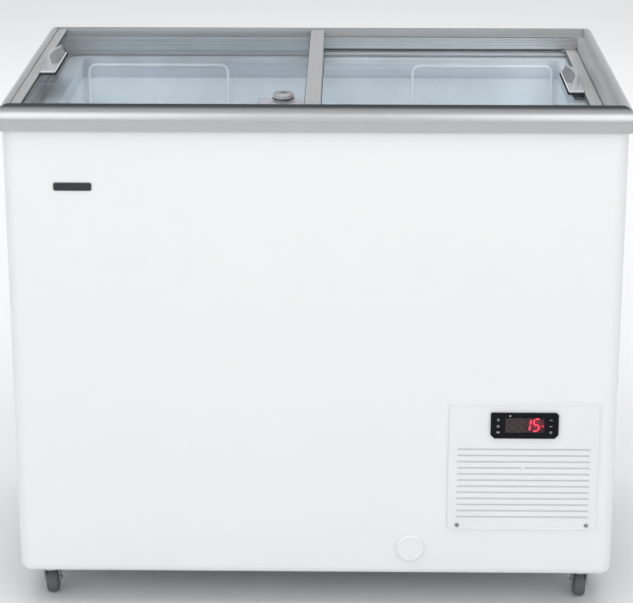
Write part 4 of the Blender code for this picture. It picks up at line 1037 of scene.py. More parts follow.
@dataclass
class LidFrame:
    """One extruded bar of a lid, which grips the edge of the glass and has fine lines along its top."""

    node: str
    body: str
    closed_side: int
    grip: float = 0.010
    glass: float = 0.005
    proud: float = 0.0025
    groove_deep: float = 0.0005
    grooves: tuple[float, ...] = (0.28, 0.62)

    def build(self, glass_top: float, skirt_low: float | None = None) -> None:
        """Builds the bar and its seal.

        Args:
            glass_top: height of the top of the pane.
            skirt_low: lowest height of the skirt, if the bar has one.
        """
        low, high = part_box(self.node)
        outer, inner = (low.x, high.x) if self.closed_side < 0 else (high.x, low.x)
        wide = inner - outer
        bottom = low.z if skirt_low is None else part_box("upper_lid_end_frame")[0].z
        top = high.z
        gap = 0.0003
        depth = inner + math.copysign(self.grip, outer - inner)
        line = math.copysign(0.0005, wide)
        outline = [(outer, bottom), (inner, bottom), (inner, glass_top - self.glass - gap),
                   (depth, glass_top - self.glass - gap), (depth, glass_top + gap), (inner, glass_top + gap),
                   (inner, top)]
        for share in sorted(self.grooves, reverse=True):
            middle = outer + wide * share
            outline += [(middle + 2 * line, top), (middle + line, top - self.groove_deep),
                        (middle - line, top - self.groove_deep), (middle - 2 * line, top)]
        outline += [(outer, top)]
        bar = Shape().prism(outline, low.y, high.y, Axis.Y)
        if skirt_low is not None:
            lip = math.copysign(0.003, wide)
            x0, x1 = sorted((outer, outer + lip))
            bar.block((x0, low.y + 0.012, skirt_low), (x1, high.y - 0.012, bottom + 0.001))
        bar.piece(f"{self.node}_profile", Finishes.LID_FRAME, self.body, "lid_frame", bevel=0.0006,
                  stands_for=[self.node])
        self.build_seal(inner, wide, glass_top, (low.y, high.y))

    def build_seal(self, inner: float, wide: float, glass_top: float, span: Flat) -> None:
        """Builds the dark seal between the bar and the pane.

        Args:
            inner: x of the bar's open side.
            wide: signed width of the bar.
            glass_top: height of the top of the pane.
            span: its two ends along Y.
        """
        reach = math.copysign(0.0013, wide)
        outline = [(inner, glass_top), (inner + reach, glass_top), (inner + reach * 0.5, glass_top + 0.0007),
                   (inner, glass_top + 0.0010)]
        Shape().prism(outline, span[0] + 0.001, span[1] - 0.001, Axis.Y).piece(
            f"{self.node}_seal", Finishes.SEAL, self.body, "lid_frame", bevel=0.0002)


@dataclass
class Grip:
    """Scooped finger handle with painted shade on its scoop, on a thin dark pad whose widened rim is partly painted
    shadow, with a painted highlight bead round its foot.
    """

    lid: str
    side: int
    rise: float = 0.34
    lip: float = 0.0045
    high: float = 0.0226
    rear_high: float = 0.0175
    ridge: float = 0.105
    round_off: float = 0.14
    rows: int = 72
    columns: int = 40

    def crest(self, along: float) -> float:
        """Share of the width where the ridge stands at a share of the length."""
        return 0.24 + 0.44 * smooth_step((along - 0.02) / 0.34) - 0.30 * smooth_step((along - 0.55) / 0.45)

    def height(self, across: float, along: float) -> float:
        """Height of the grip.

        Args:
            across: share of its width from the inner edge.
            along: share of its length from the front.

        Returns:
            The height above its foot.
        """
        peak = (self.high - self.lip) * smooth_step(along / self.rise)
        peak -= (self.high - self.rear_high) * max(along - self.rise, 0.0) / (1.0 - self.rise)
        crest = self.crest(along)
        away = abs(across - crest)
        if away < self.ridge:
            share = 1.0 - self.round_off * (away / self.ridge) ** 2
        elif across < crest:
            share = (1.0 - self.round_off) * (across / (crest - self.ridge)) ** 2.6
        else:
            fall = 0.62 - 0.40 * smooth_step((along - 0.22) / 0.30)
            beyond = (across - crest - self.ridge) / (1.0 - crest - self.ridge)
            share = 1.0 - self.round_off - fall * smooth_step(beyond / 0.5)
        return self.lip + peak * share

    def build(self) -> None:
        """Builds the grip, its painted-shade scoop, its pad with a painted shadow rim and its painted-highlight foot
        bead.
        """
        low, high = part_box(f"{self.lid}_handle")
        inner, outer = (low.x, high.x) if self.side > 0 else (high.x, low.x)
        rows = []
        for i in range(self.rows + 1):
            along = i / self.rows
            y = low.y + (high.y - low.y) * along
            ends = min(along, 1.0 - along) * (high.y - low.y)
            row = []
            for j in range(self.columns + 1):
                across = j / self.columns
                sides = min(across, 1.0 - across) * abs(outer - inner)
                edge = min(sides, ends)
                ease = 1.0 - 0.35 * max(0.0, 1.0 - edge / 0.0016) ** 2
                row.append((inner + (outer - inner) * across, y, low.z + self.height(across, along) * ease))
            rows.append(row)
        Shape().field(rows, low.z).piece(f"{self.lid}_grip", Finishes.HANDLE, self.lid, "handle_plastic",
                                         smooth=60.0, stands_for=[f"{self.lid}_handle"])
        # painted shade: a darker skin laid just over the grip's inner slope
        scoop = []
        for i in range(41):
            along = 0.10 + 0.885 * i / 40
            end = self.crest(along) - self.ridge * 0.9
            start = end - (end - 0.03) * smooth_step((along - 0.08) / 0.45) - 0.002
            y = low.y + (high.y - low.y) * along
            scoop.append([(inner + (outer - inner) * u, y, low.z + self.height(u, along) + 0.00018)
                          for u in [start + (end - start) * j / 14 for j in range(15)]])
        Shape().field(scoop, low.z + 0.0005).piece(f"{self.lid}_grip_scoop_painted_shade", Finishes.SCOOP_PAINTED_SHADE, self.lid,
                                                   "handle_plastic", smooth=60.0)
        # painted highlight: a pale bead round the grip's foot stands in for the bright edge light there
        way = 1 if outer > inner else -1
        bead = [(inner + way * 0.0004, high.y - 0.001), (inner + way * 0.0004, low.y + 0.0016),
                (inner + way * 0.0016, low.y + 0.0004), (outer - way * 0.001, low.y + 0.0004)]
        Shape().tube([(x, y, low.z + 0.0034) for x, y in bead], 0.0012, 10).piece(
            f"{self.lid}_grip_highlight_bead", Finishes.GRIP_EDGE_PAINTED_HIGHLIGHT, self.lid, "handle_plastic", smooth=60.0)
        # the pad is widened 0.9 mm past its node so its near-black rim also stands in for the shadow under the grip:
        # real rubber, partly painted shadow
        pad_low, pad_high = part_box(f"{self.lid}_handle_pad")
        outline = rounded((pad_low.x - 0.0009, pad_low.y - 0.0009), (pad_high.x + 0.0009, pad_high.y + 0.0009),
                          0.0012, 4)
        Shape().prism(outline, pad_low.z, low.z + 0.0014).piece(
            f"{self.lid}_grip_pad_and_shadow", Finishes.PAD_RUBBER_AND_SHADOW, self.lid, "pad_rubber", bevel=0.0003,
            stands_for=[f"{self.lid}_handle_pad"])


@dataclass
class Lids:
    """The two sliding lids, their grips, and the lock in the upper one."""

    label: tuple[Flat, Flat] = ((-0.0950, -0.2705), (-0.0215, -0.2185))
    edge_shadow_wide: Flat = (-0.0014, 0.0006)
    edge_shadow_high: Flat = (0.0001, 0.0034)

    def build(self) -> None:
        """Builds the lids' pieces and dresses their panes."""
        upper_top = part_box("upper_lid_glass")[1].z
        lower_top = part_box("lower_lid_glass")[1].z
        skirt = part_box("upper_lid_meeting_bar")[0].z
        LidFrame("upper_lid_end_frame", "upper_lid", -1).build(upper_top)
        LidFrame("upper_lid_meeting_bar", "upper_lid", 1).build(upper_top, skirt)
        LidFrame("lower_lid_end_frame", "lower_lid", 1).build(lower_top)
        LidFrame("lower_lid_meeting_bar", "lower_lid", -1).build(lower_top)
        dress(Finishes.GLASS, "upper_lid_glass", "lower_lid_glass")
        Grip("upper_lid", -1).build()
        Grip("lower_lid", 1).build()
        self.build_corner_blocks()
        self.build_edge_shadow_strips()
        self.build_lock(upper_top)
        self.build_label(upper_top - 0.005)

    def build_edge_shadow_strips(self) -> None:
        """Builds dark strips along the long edges of the lower pane, a painted shadow standing in for the gap there.
        """
        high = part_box("lower_lid_glass")[1]
        ends = (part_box("lower_lid_meeting_bar")[1].x + 0.0004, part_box("lower_lid_end_frame")[0].x - 0.0004)
        strips = Shape()
        for side in (-1, 1):
            y0, y1 = sorted(side * (high.y + edge) for edge in self.edge_shadow_wide)
            foot, top = (high.z + level for level in self.edge_shadow_high)
            strips.block((ends[0], y0, foot), (ends[1], y1, top))
        strips.piece("lower_lid_edge_shadow_strips", Finishes.SEAL, "lower_lid", "lid_frame", bevel=0.0002)

    def build_corner_blocks(self) -> None:
        """Builds the moulded keys in the corners of the lower lid's end frame."""
        low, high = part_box("lower_lid_end_frame")
        glass_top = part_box("lower_lid_glass")[1].z
        keys = Shape()
        size = 0.0085
        for sign in (-1, 1):
            edge = sign * high.y
            fillet = [(low.x, edge - sign * 0.0002), (low.x - size, edge - sign * 0.0002)]
            fillet += [(low.x - size + size * math.sin(t), edge - sign * (0.0012 + size * (1 - math.cos(t))))
                       for t in [math.pi / 2 * i / 8 for i in range(9)]]
            keys.prism(fillet, glass_top + 0.0002, glass_top + 0.0020)
        keys.piece("lower_lid_corner_keys", Finishes.LID_FRAME, "lower_lid", "lid_frame", bevel=0.0003)

    def build_lock(self, glass_top: float) -> None:
        """Builds the lock's rings and face.

        Args:
            glass_top: height of the top of the pane.
        """
        low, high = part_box("lock_body")
        centre = ((low.x + high.x) / 2, (low.y + high.y) / 2, 0.0)
        radius = (high.x - low.x) / 2
        top = high.z
        foot = [(radius - 0.002, glass_top + 0.0002), (radius + 0.0012, glass_top + 0.0002),
                (radius + 0.0012, glass_top + 0.0012), (radius + 0.0004, glass_top + 0.0018),
                (radius - 0.002, glass_top + 0.0018)]
        Shape().turned(foot, centre, steps=64, ring=True).piece(
            "lock_foot_ring", Finishes.PAD_RUBBER_AND_SHADOW, "upper_lid", "lock_metal", smooth=30.0)
        face = [(radius - 0.0052, top - 0.0006), (radius - 0.0034, top - 0.0006), (radius - 0.0036, top + 0.0004),
                (radius - 0.0043, top + 0.0007), (radius - 0.0050, top + 0.0004)]
        Shape().turned(face, centre, steps=64, ring=True).piece(
            "lock_face_ring", Finishes.LOCK, "upper_lid", "lock_metal", smooth=60.0)
        dress(Finishes.LOCK, "lock_body")
        dress(Finishes.KEYWAY, "lock_cylinder")

    def build_label(self, under: float) -> None:
        """Builds the blank label under the pane.

        Args:
            under: height of the pane's underside.
        """
        Shape().prism(rounded(*self.label, 0.003), under - 0.00025, under - 0.00005).piece(
            "lock_label", Finishes.LABEL, "upper_lid", "lid_frame")


# ---------------------------------------------------------------- chest


@dataclass
class Chest:
    """The inside of the cabinet: liner, coves, collar, drain strainer and insulation."""

    half_x: float = 0.4435
    half_y: float = 0.2585
    cove: float = 0.006
    step_x: float = 0.150
    floor: float = 0.140
    step_floor: float = 0.455

    def build(self) -> None:
        """Builds the chest's pieces and dresses its nodes."""
        dress(Finishes.LINER, "liner_band", "liner_front", "liner_rear")
        dress(Finishes.COLLAR, "throat_collar")
        dress(Finishes.FOAM, "foam_insulation")
        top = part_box("throat_collar")[0].z + 0.0040
        coves = Shape()
        for sign_x, foot in ((-1, self.floor), (1, self.step_floor)):
            for sign_y in (-1, 1):
                self.corner(coves, (sign_x * self.half_x, sign_y * self.half_y), (sign_x, sign_y), foot, top)
        for sign_y in (-1, 1):
            self.corner(coves, (self.step_x, sign_y * self.half_y), (1, sign_y), self.floor, self.step_floor)
        coves.piece("liner_corner_coves", Finishes.LINER, "cabinet", "liner", smooth=50.0)
        self.build_beads()
        self.build_strainer()

    def corner(self, shape: Shape, at: Flat, signs: tuple[int, int], foot: float, top: float) -> None:
        """Adds one upright cove.

        Args:
            shape: what it is added to.
            at: the sharp corner of the liner.
            signs: directions of the walls.
            foot: lowest height.
            top: highest height.
        """
        radius, tuck = self.cove, 0.0004
        centre = (at[0] - signs[0] * radius, at[1] - signs[1] * radius)
        curve = [(centre[0] + signs[0] * radius * math.cos(t), centre[1] + signs[1] * radius * math.sin(t))
                 for t in [math.pi / 2 * i / 8 for i in range(9)]]
        outline = [(at[0] + signs[0] * tuck, at[1] + signs[1] * tuck)] + curve
        shape.prism(outline, foot, top)

    def build_beads(self) -> None:
        """Builds the pressed beads on the rear panel of the liner, lighter than the liner as a painted highlight."""
        y = self.half_y - 0.0014
        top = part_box("rim_rail_front")[1].z - 0.060
        for name, side in (("left", -1), ("right", 1)):
            outline = rounded((0.172, self.step_floor + 0.103), (0.432, top), 0.014, 10)
            route = [(side * x, y, z) for x, z in outline]
            Shape().tube(route, 0.0028, 14, closed=True).piece(
                f"liner_bead_{name}", Finishes.BEAD_PAINTED_HIGHLIGHT, "cabinet", "liner", smooth=60.0)

    def build_strainer(self) -> None:
        """Builds the strainer over the drain."""
        centre = (self.step_x - 0.035, -0.200, self.floor)
        ring = [(0.0085, 0.0003), (0.016, 0.0003), (0.0165, 0.0010), (0.0150, 0.0018), (0.0085, 0.0016)]
        strainer = Shape().turned(ring, centre, ring=True)
        for i in range(5):
            x = centre[0] - 0.006 + i * 0.003
            strainer.block((x - 0.0006, centre[1] - 0.0095, centre[2] + 0.0004),
                           (x + 0.0006, centre[1] + 0.0095, centre[2] + 0.0013))
        strainer.piece("drain_strainer", Finishes.CAP, "cabinet", "cap_plastic", bevel=0.0002)


# ---------------------------------------------------------------- body


@dataclass
class Body:
    """The painted wrap, the rear panel and what is fixed to them."""

    badge: tuple[Flat, Flat] = ((-0.4255, 0.7450), (-0.3620, 0.7600))
    screws: tuple[float, ...] = (0.10, 0.33, 0.56, 0.79)

    def build(self) -> None:
        """Builds the body's pieces and dresses its nodes."""
        dress(Finishes.BODY, "outer_shell")
        dress(Finishes.ZINC, "rear_panel", "base_pan", "compressor_tray", "compartment_lining")
        self.build_badge()
        self.build_rear()

    def build_badge(self) -> None:
        """Builds the blank badge at the upper left of the front."""
        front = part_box("outer_shell")[0].y
        low, high = self.badge
        Shape().prism(rounded(low, high, 0.004), front - 0.0011, front + 0.0002, Axis.Y).piece(
            "front_badge_edge", Finishes.BADGE_EDGE, "cabinet", "screw_steel", bevel=0.0003)
        inner_low, inner_high = (low[0] + 0.001, low[1] + 0.001), (high[0] - 0.001, high[1] - 0.001)
        Shape().prism(rounded(inner_low, inner_high, 0.0032), front - 0.0014, front - 0.0009, Axis.Y).piece(
            "front_badge_face", Finishes.BADGE, "cabinet", "screw_steel", bevel=0.0001)

    def build_rear(self) -> None:
        """Builds the screws, the stiffening ribs and the blank plate of the rear panel."""
        low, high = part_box("rear_panel")
        rear = high.y
        screws = Shape()
        for side in (-1, 1):
            for z in self.screws:
                centre = (side * (high.x - 0.014), rear, z)
                screws.turned([(0, 0.0024), (0.0022, 0.0023), (0.0036, 0.0014), (0.0040, 0.0002), (0.0040, -0.0002),
                               (0, -0.0002)], centre, Axis.Y, 24)
        screws.piece("rear_screws", Finishes.SCREW, "cabinet", "screw_steel", smooth=40.0)
        ribs = Shape()
        for z in (0.36, 0.62):
            outline = rounded((-0.40, z), (0.40, z + 0.022), 0.0108)
            inner = rounded((-0.394, z + 0.006), (0.394, z + 0.016), 0.0048)
            loops = [[(x, rear - 0.0002, v) for x, v in outline],
                     [(x, rear + 0.0018, v) for x, v in inner]]
            ribs.loft(loops)
        ribs.piece("rear_ribs", Finishes.ZINC, "cabinet", "galvanised_sheet", bevel=0.0008)
        plate = rounded((-0.36, 0.170), (-0.25, 0.235), 0.003)
        Shape().prism(plate, rear, rear + 0.0006, Axis.Y).piece(
            "rear_blank_plate", Finishes.BADGE_EDGE, "cabinet", "screw_steel", bevel=0.0002)
        dress(Finishes.BLACK, "power_inlet_gland")
        low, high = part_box("power_inlet_gland")
        centre = ((low.x + high.x) / 2, high.y, (low.z + high.z) / 2)
        ridges = Shape()
        for i in range(16):
            turn = 2 * math.pi * i / 16
            x, z = centre[0] + 0.0119 * math.cos(turn), centre[2] + 0.0119 * math.sin(turn)
            ridges.turned([(0, -0.0066), (0.0008, -0.0066), (0.0008, -0.0036), (0, -0.0036)], (x, centre[1], z),
                          Axis.Y, 8)
        ridges.piece("gland_ridges", Finishes.BLACK, "cabinet", "controller_plastic", smooth=40.0)


# ---------------------------------------------------------------- grille


@dataclass
class Grille:
    """Louvred panel of the machine compartment."""

    slots: int = 12
    first: float = 0.175
    pitch: float = 0.0112
    slot_high: float = 0.003
    slot_x: Flat = (0.241, 0.461)
    boss: Flat = (0.350, 0.2683)

    def build(self) -> None:
        """Builds the slats, the boss, the edge bead and the finger arc."""
        low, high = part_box("grille_panel")
        front, back = low.y, high.y
        dress(Finishes.GRILLE, "grille_panel")
        dress(Finishes.SCREW, "grille_screw_left", "grille_screw_right")
        slats, hooks = Shape(), Shape()
        for i in range(self.slots):
            z = self.first + i * self.pitch - self.slot_high / 2
            top = z + self.slot_high
            outline = [(front + 0.0001, z - 0.0002), (front + 0.0019, top + 0.0004), (back + 0.0003, top + 0.0004),
                       (back + 0.0003, top - 0.0006), (front + 0.0010, z - 0.0002)]
            slats.prism(outline, self.slot_x[0] - 0.0002, self.slot_x[1] + 0.0002, Axis.X)
            for x, way in ((self.slot_x[0], -1), (self.slot_x[1], 1)):
                hook = [(x - way * 0.0004, front, top - 0.0004)]
                hook += [(x + way * 0.0018 * math.sin(math.radians(t)), front,
                          top - 0.0004 - 0.0030 + 0.0030 * math.cos(math.radians(t))) for t in (25, 50, 75, 100)]
                hooks.tube(hook, 0.00045, 8)
        # the slats and hooks wear the darkened grille plastic: painted shade in the slots
        hooks.piece("grille_hooks", Finishes.SLAT_PAINTED_SHADE, "cabinet", "grille_plastic", smooth=60.0)
        slats.piece("grille_slats", Finishes.SLAT_PAINTED_SHADE, "cabinet", "grille_plastic", bevel=0.0001)
        self.build_edge(low, high, front)
        boss = [(0, -0.0011), (0.0022, -0.00105), (0.0038, -0.0007), (0.0048, -0.0001), (0.0048, 0.0016), (0, 0.0016)]
        Shape().turned(boss, (self.boss[0], front, self.boss[1]), Axis.Y, 48).piece(
            "grille_boss", Finishes.GRILLE, "cabinet", "grille_plastic", smooth=50.0)
        finger = arc(((low.x + high.x) / 2, low.z + 0.0030), (0.036, 0.0115), 4, 176, 28)
        Shape().tube([(x, front, z) for x, z in finger], 0.0005, 8).piece(
            "grille_finger_arc", Finishes.GRILLE, "cabinet", "grille_plastic", smooth=60.0)

    def build_edge(self, low: Vector, high: Vector, front: float) -> None:
        """Builds the raised bead round the panel.

        Args:
            low: lowest corner of the panel.
            high: highest corner of the panel.
            front: y of its face.
        """
        loops = []
        inset = (0.0001, 0.0005, 0.0018, 0.0026, 0.0026, 0.0001)
        proud = (0.0003, -0.0005, -0.0006, -0.0001, 0.0004, 0.0004)
        for distance, lift in zip(inset, proud):
            outline = rounded((low.x + distance, low.z + distance), (high.x - distance, high.z - distance),
                              0.005 - distance * 0.8)
            loops.append([(x, front + lift, z) for x, z in outline])
        Shape().loft(loops, closed=True).piece("grille_edge_bead", Finishes.GRILLE, "cabinet", "grille_plastic",
                                               smooth=50.0)


# ---------------------------------------------------------------- controller


class Segment(Enum):
    """The seven bars of a lit digit, as start and end in shares of its width and height."""

    TOP = ((0.0, 1.0), (1.0, 1.0))
    UPPER_RIGHT = ((1.0, 1.0), (1.0, 0.5))
    LOWER_RIGHT = ((1.0, 0.5), (1.0, 0.0))
    BOTTOM = ((0.0, 0.0), (1.0, 0.0))
    LOWER_LEFT = ((0.0, 0.5), (0.0, 0.0))
    UPPER_LEFT = ((0.0, 1.0), (0.0, 0.5))
    MIDDLE = ((0.0, 0.5), (1.0, 0.5))


@dataclass
class Digit:
    """One seven-bar digit that leans to the right."""

    left: float
    foot: float
    wide: float = 0.0094
    high: float = 0.0214
    thick: float = 0.0029
    lean: float = 0.14

    def bar(self, shape: Shape, segment: Segment, front: float) -> None:
        """Adds one bar.

        Args:
            shape: what it is added to.
            segment: which bar.
            front: y of its face.
        """
        (u0, v0), (u1, v1) = segment.value
        start = Vector((u0 * self.wide, v0 * self.high))
        end = Vector((u1 * self.wide, v1 * self.high))
        along = (end - start).normalized()
        side = Vector((-along.y, along.x)) * self.thick / 2
        gap = 0.0003 + self.thick * 0.12
        start, end = start + along * gap, end - along * gap
        slant = along * self.thick / 2
        corners = [start, start + slant + side, end - slant + side, end, end - slant - side, start + slant - side]
        outline = [(self.left + p.x + self.lean * p.y, self.foot + p.y) for p in corners]
        shape.prism(outline, front, front + 0.0003, Axis.Y)


class KeyMark(Enum):
    """Plain printed marks of the keys."""

    LAMP = "left_top"
    BELL = "left_middle"
    BARS = "left_bottom"
    UP = "right_top"
    DOWN = "right_middle"
    RING = "right_bottom"


@dataclass
class Controller:
    """Temperature controller with a lit display and six keys."""

    lit: dict[int, tuple[Segment, ...]] = field(default_factory=lambda: {
        2: (Segment.UPPER_RIGHT, Segment.LOWER_RIGHT),
        3: (Segment.TOP, Segment.UPPER_LEFT, Segment.MIDDLE, Segment.LOWER_RIGHT, Segment.BOTTOM)})
    first_left: float = 0.3192
    pitch: float = 0.0149
    foot: float = 0.3332

    def build(self) -> None:
        """Builds the display and the marks, and dresses the controller's nodes."""
        dress(Finishes.CONTROL, "controller_housing")
        dress(Finishes.LENS, "display_lens")
        self.build_display()
        self.build_frame()
        for mark in KeyMark:
            self.build_mark(mark)

    def build_display(self) -> None:
        """Builds the lit bars, the unlit bars with their painted glow, and the lamps."""
        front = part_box("display_lens")[0].y - 0.00022
        lit, unlit = Shape(), Shape()
        for place in range(4):
            digit = Digit(self.first_left + place * self.pitch, self.foot)
            for segment in Segment:
                shape = lit if segment in self.lit.get(place, ()) else unlit
                digit.bar(shape, segment, front)
        dot = [(0, 0.0), (0.0013, 0.0), (0.0013, 0.0003), (0, 0.0003)]
        lit.turned(dot, (0.3812, front, 0.3420), Axis.Y, 20)
        lit.piece("display_lit_bars", Finishes.LIT, "cabinet", "display_lens")
        unlit.piece("display_unlit_bars", Finishes.UNLIT_PAINTED_GLOW, "cabinet", "display_lens")
        low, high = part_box("display_lens")
        halo = rounded((0.3505, low.z + 0.0002), (high.x - 0.0002, high.z - 0.0002), 0.0006, 4)
        Shape().prism(halo, low.y - 0.00012, low.y + 0.0001, Axis.Y).piece(
            "display_halo", Finishes.HALO, "cabinet", "display_lens")
        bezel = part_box("controller_housing")[0].y
        dome = [(0, -0.0004), (0.0007, -0.00035), (0.0011, 0.0), (0.0011, 0.0002), (0, 0.0002)]
        Shape().turned(dome, (0.3263, bezel, 0.3600), Axis.Y, 24).piece(
            "display_lamp", Finishes.LAMP, "cabinet", "display_lens", smooth=60.0)

    def build_frame(self) -> None:
        """Builds the thin raised frame round the window."""
        low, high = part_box("display_lens")
        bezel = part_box("controller_housing")[0].y
        loops = []
        for grow, lift in ((0.0004, 0.0003), (0.0004, -0.0004), (0.0012, -0.0005), (0.0018, 0.0003)):
            outline = rounded((low.x - grow, low.z - grow), (high.x + grow, high.z + grow), 0.0008 + grow * 0.5, 4)
            loops.append([(x, bezel + lift, z) for x, z in outline])
        Shape().loft(loops, closed=True).piece("display_frame", Finishes.CONTROL, "cabinet", "controller_plastic",
                                               smooth=40.0)

    def build_mark(self, mark: KeyMark) -> None:
        """Builds the printed mark of one key.

        Args:
            mark: which key and mark.
        """
        node = f"key_{mark.value}"
        dress(Finishes.KEY, node)
        low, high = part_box(node)
        x, z, y = (low.x + high.x) / 2, (low.z + high.z) / 2, low.y - 0.00012
        shape = Shape()

        def stroke(points: Sequence[Flat], closed: bool = False) -> None:
            """Adds a thin line through points given from the key's middle."""
            shape.tube([(x + u, y, z + v) for u, v in points], 0.00036, 8, closed)

        if mark is KeyMark.LAMP:
            stroke(arc((0.0, 0.0005), (0.0015, 0.0015), -60, 240, 16))
            stroke([(-0.0007, -0.0012), (0.0007, -0.0012)])
            stroke([(-0.0005, -0.0020), (0.0005, -0.0020)])
        elif mark is KeyMark.BELL:
            stroke(arc((0.0, -0.0004), (0.0016, 0.0018), 0, 180, 12) + [(-0.0021, -0.0014), (0.0021, -0.0014)], True)
            stroke(arc((0.0, -0.0014), (0.0006, 0.0006), 180, 360, 6))
        elif mark is KeyMark.BARS:
            for v in (-0.0009, 0.0, 0.0009):
                stroke([(-0.0024, v), (0.0024, v)])
        elif mark is KeyMark.UP:
            stroke([(-0.0020, -0.0008), (0.0, 0.0010), (0.0020, -0.0008)])
        elif mark is KeyMark.DOWN:
            stroke([(-0.0020, 0.0008), (0.0, -0.0010), (0.0020, 0.0008)])
        else:
            stroke(arc((0.0, 0.0), (0.0016, 0.0016), 0, 345, 22), True)
        shape.piece(f"{node}_print", Finishes.MARK, node, "key_plastic", smooth=60.0)


# ---------------------------------------------------------------- drain, castors and machinery


@dataclass
class Drain:
    """Cap of the melt-water drain, and its pipe."""

    def build(self) -> None:
        """Builds the cap's moulded ring and dresses the cap and its pipe."""
        dress(Finishes.CAP, "drain_cap", "drain_pipe")
        low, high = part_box("drain_cap")
        centre = ((low.x + high.x) / 2, low.y, (low.z + high.z) / 2)
        radius = (high.x - low.x) / 2
        ring = [(radius - 0.0046, 0.0002), (radius - 0.0042, -0.0004), (radius - 0.0034, -0.0006),
                (radius - 0.0026, -0.0004), (radius - 0.0022, 0.0002)]
        cap = Shape().turned(ring, centre, Axis.Y, 64, ring=True)
        cap.piece("drain_cap_ring", Finishes.CAP, "drain_cap", "cap_plastic", smooth=60.0)


@dataclass
class Castor:
    """One swivel castor: tyre, core, ball race, axle caps and plate bolts."""

    tag: str
    crown: float = 0.0012
    cap_face: float = 0.0150
    race_radius: float = 0.0186
    trail: float = 0.016

    def build(self) -> None:
        """Builds the castor's pieces and dresses its nodes."""
        wheel, fork = f"castor_wheel_{self.tag}", f"castor_fork_{self.tag}"
        plate = f"castor_plate_{self.tag}"
        dress(Finishes.CASTOR, fork, plate)
        low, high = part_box(wheel)
        middle = ((low.x + high.x) / 2, (low.y + high.y) / 2, (low.z + high.z) / 2)
        radius, half = middle[2], (high.x - low.x) / 2
        tyre = [(0.0165, half - 0.0008)] + [(radius - self.crown * abs(t) ** 3 - 0.0022 * max(abs(t) - 0.8, 0) * 5,
                                            -t * half * 0.96) for t in [-1 + i / 8 for i in range(17)]]
        tyre += [(0.0165, -half + 0.0008)]
        Shape().turned(tyre, middle, Axis.X, 72, ring=True).piece(
            f"{wheel}_tyre", Finishes.TREAD, wheel, "castor_tread", smooth=40.0, stands_for=[wheel])
        core = [(0.0045, -half + 0.0004), (0.0080, -half + 0.0004), (0.0090, -half + 0.0022),
                (0.0150, -half + 0.0022), (0.0166, -half + 0.0010), (0.0166, half - 0.0010),
                (0.0150, half - 0.0022), (0.0090, half - 0.0022), (0.0080, half - 0.0004), (0.0045, half - 0.0004)]
        Shape().turned(core, middle, Axis.X, 48, ring=True).piece(
            f"{wheel}_core", Finishes.CORE, wheel, "castor_tread", smooth=35.0)
        self.build_fork(fork, middle)
        self.build_plate(plate)

    def build_fork(self, fork: str, axle: Point) -> None:
        """Builds the axle caps and the ball race.

        Args:
            fork: name of the fork's node and body.
            axle: middle of the wheel.
        """
        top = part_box(fork)[1].z
        caps = Shape()
        for sign in (-1, 1):
            face = axle[0] + sign * self.cap_face
            profile = [(0, sign * 0.0016), (0.0030, sign * 0.0014), (0.0044, sign * 0.0006), (0.0046, 0.0),
                       (0.0046, sign * -0.0008), (0, sign * -0.0008)]
            caps.turned(profile, (face, axle[1], axle[2]), Axis.X, 6)
        caps.piece(f"{fork}_nuts", Finishes.CASTOR, fork, "castor_steel", bevel=0.0003)
        radius = self.race_radius
        centre = (axle[0], axle[1] - self.trail, top)
        race = [(radius - 0.001, -0.0052), (radius + 0.0012, -0.0046), (radius + 0.0018, -0.0030),
                (radius + 0.0012, -0.0014), (radius - 0.001, -0.0008)]
        Shape().turned(race, centre, Axis.Z, 48, ring=True).piece(
            f"{fork}_race", Finishes.CASTOR, fork, "castor_steel", smooth=60.0)

    def build_plate(self, plate: str) -> None:
        """Builds the bolts of the plate.

        Args:
            plate: name of the plate's node.
        """
        low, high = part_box(plate)
        bolts = Shape()
        for x in (low.x + 0.007, high.x - 0.007):
            for y in (low.y + 0.007, high.y - 0.007):
                head = [(0, -0.0034), (0.0036, -0.0034), (0.0042, -0.0026), (0.0042, 0.0002), (0, 0.0002)]
                bolts.turned(head, (x, y, low.z), Axis.Z, 6)
        bolts.piece(f"{plate}_bolts", Finishes.CASTOR, "cabinet", "castor_steel", bevel=0.0003)


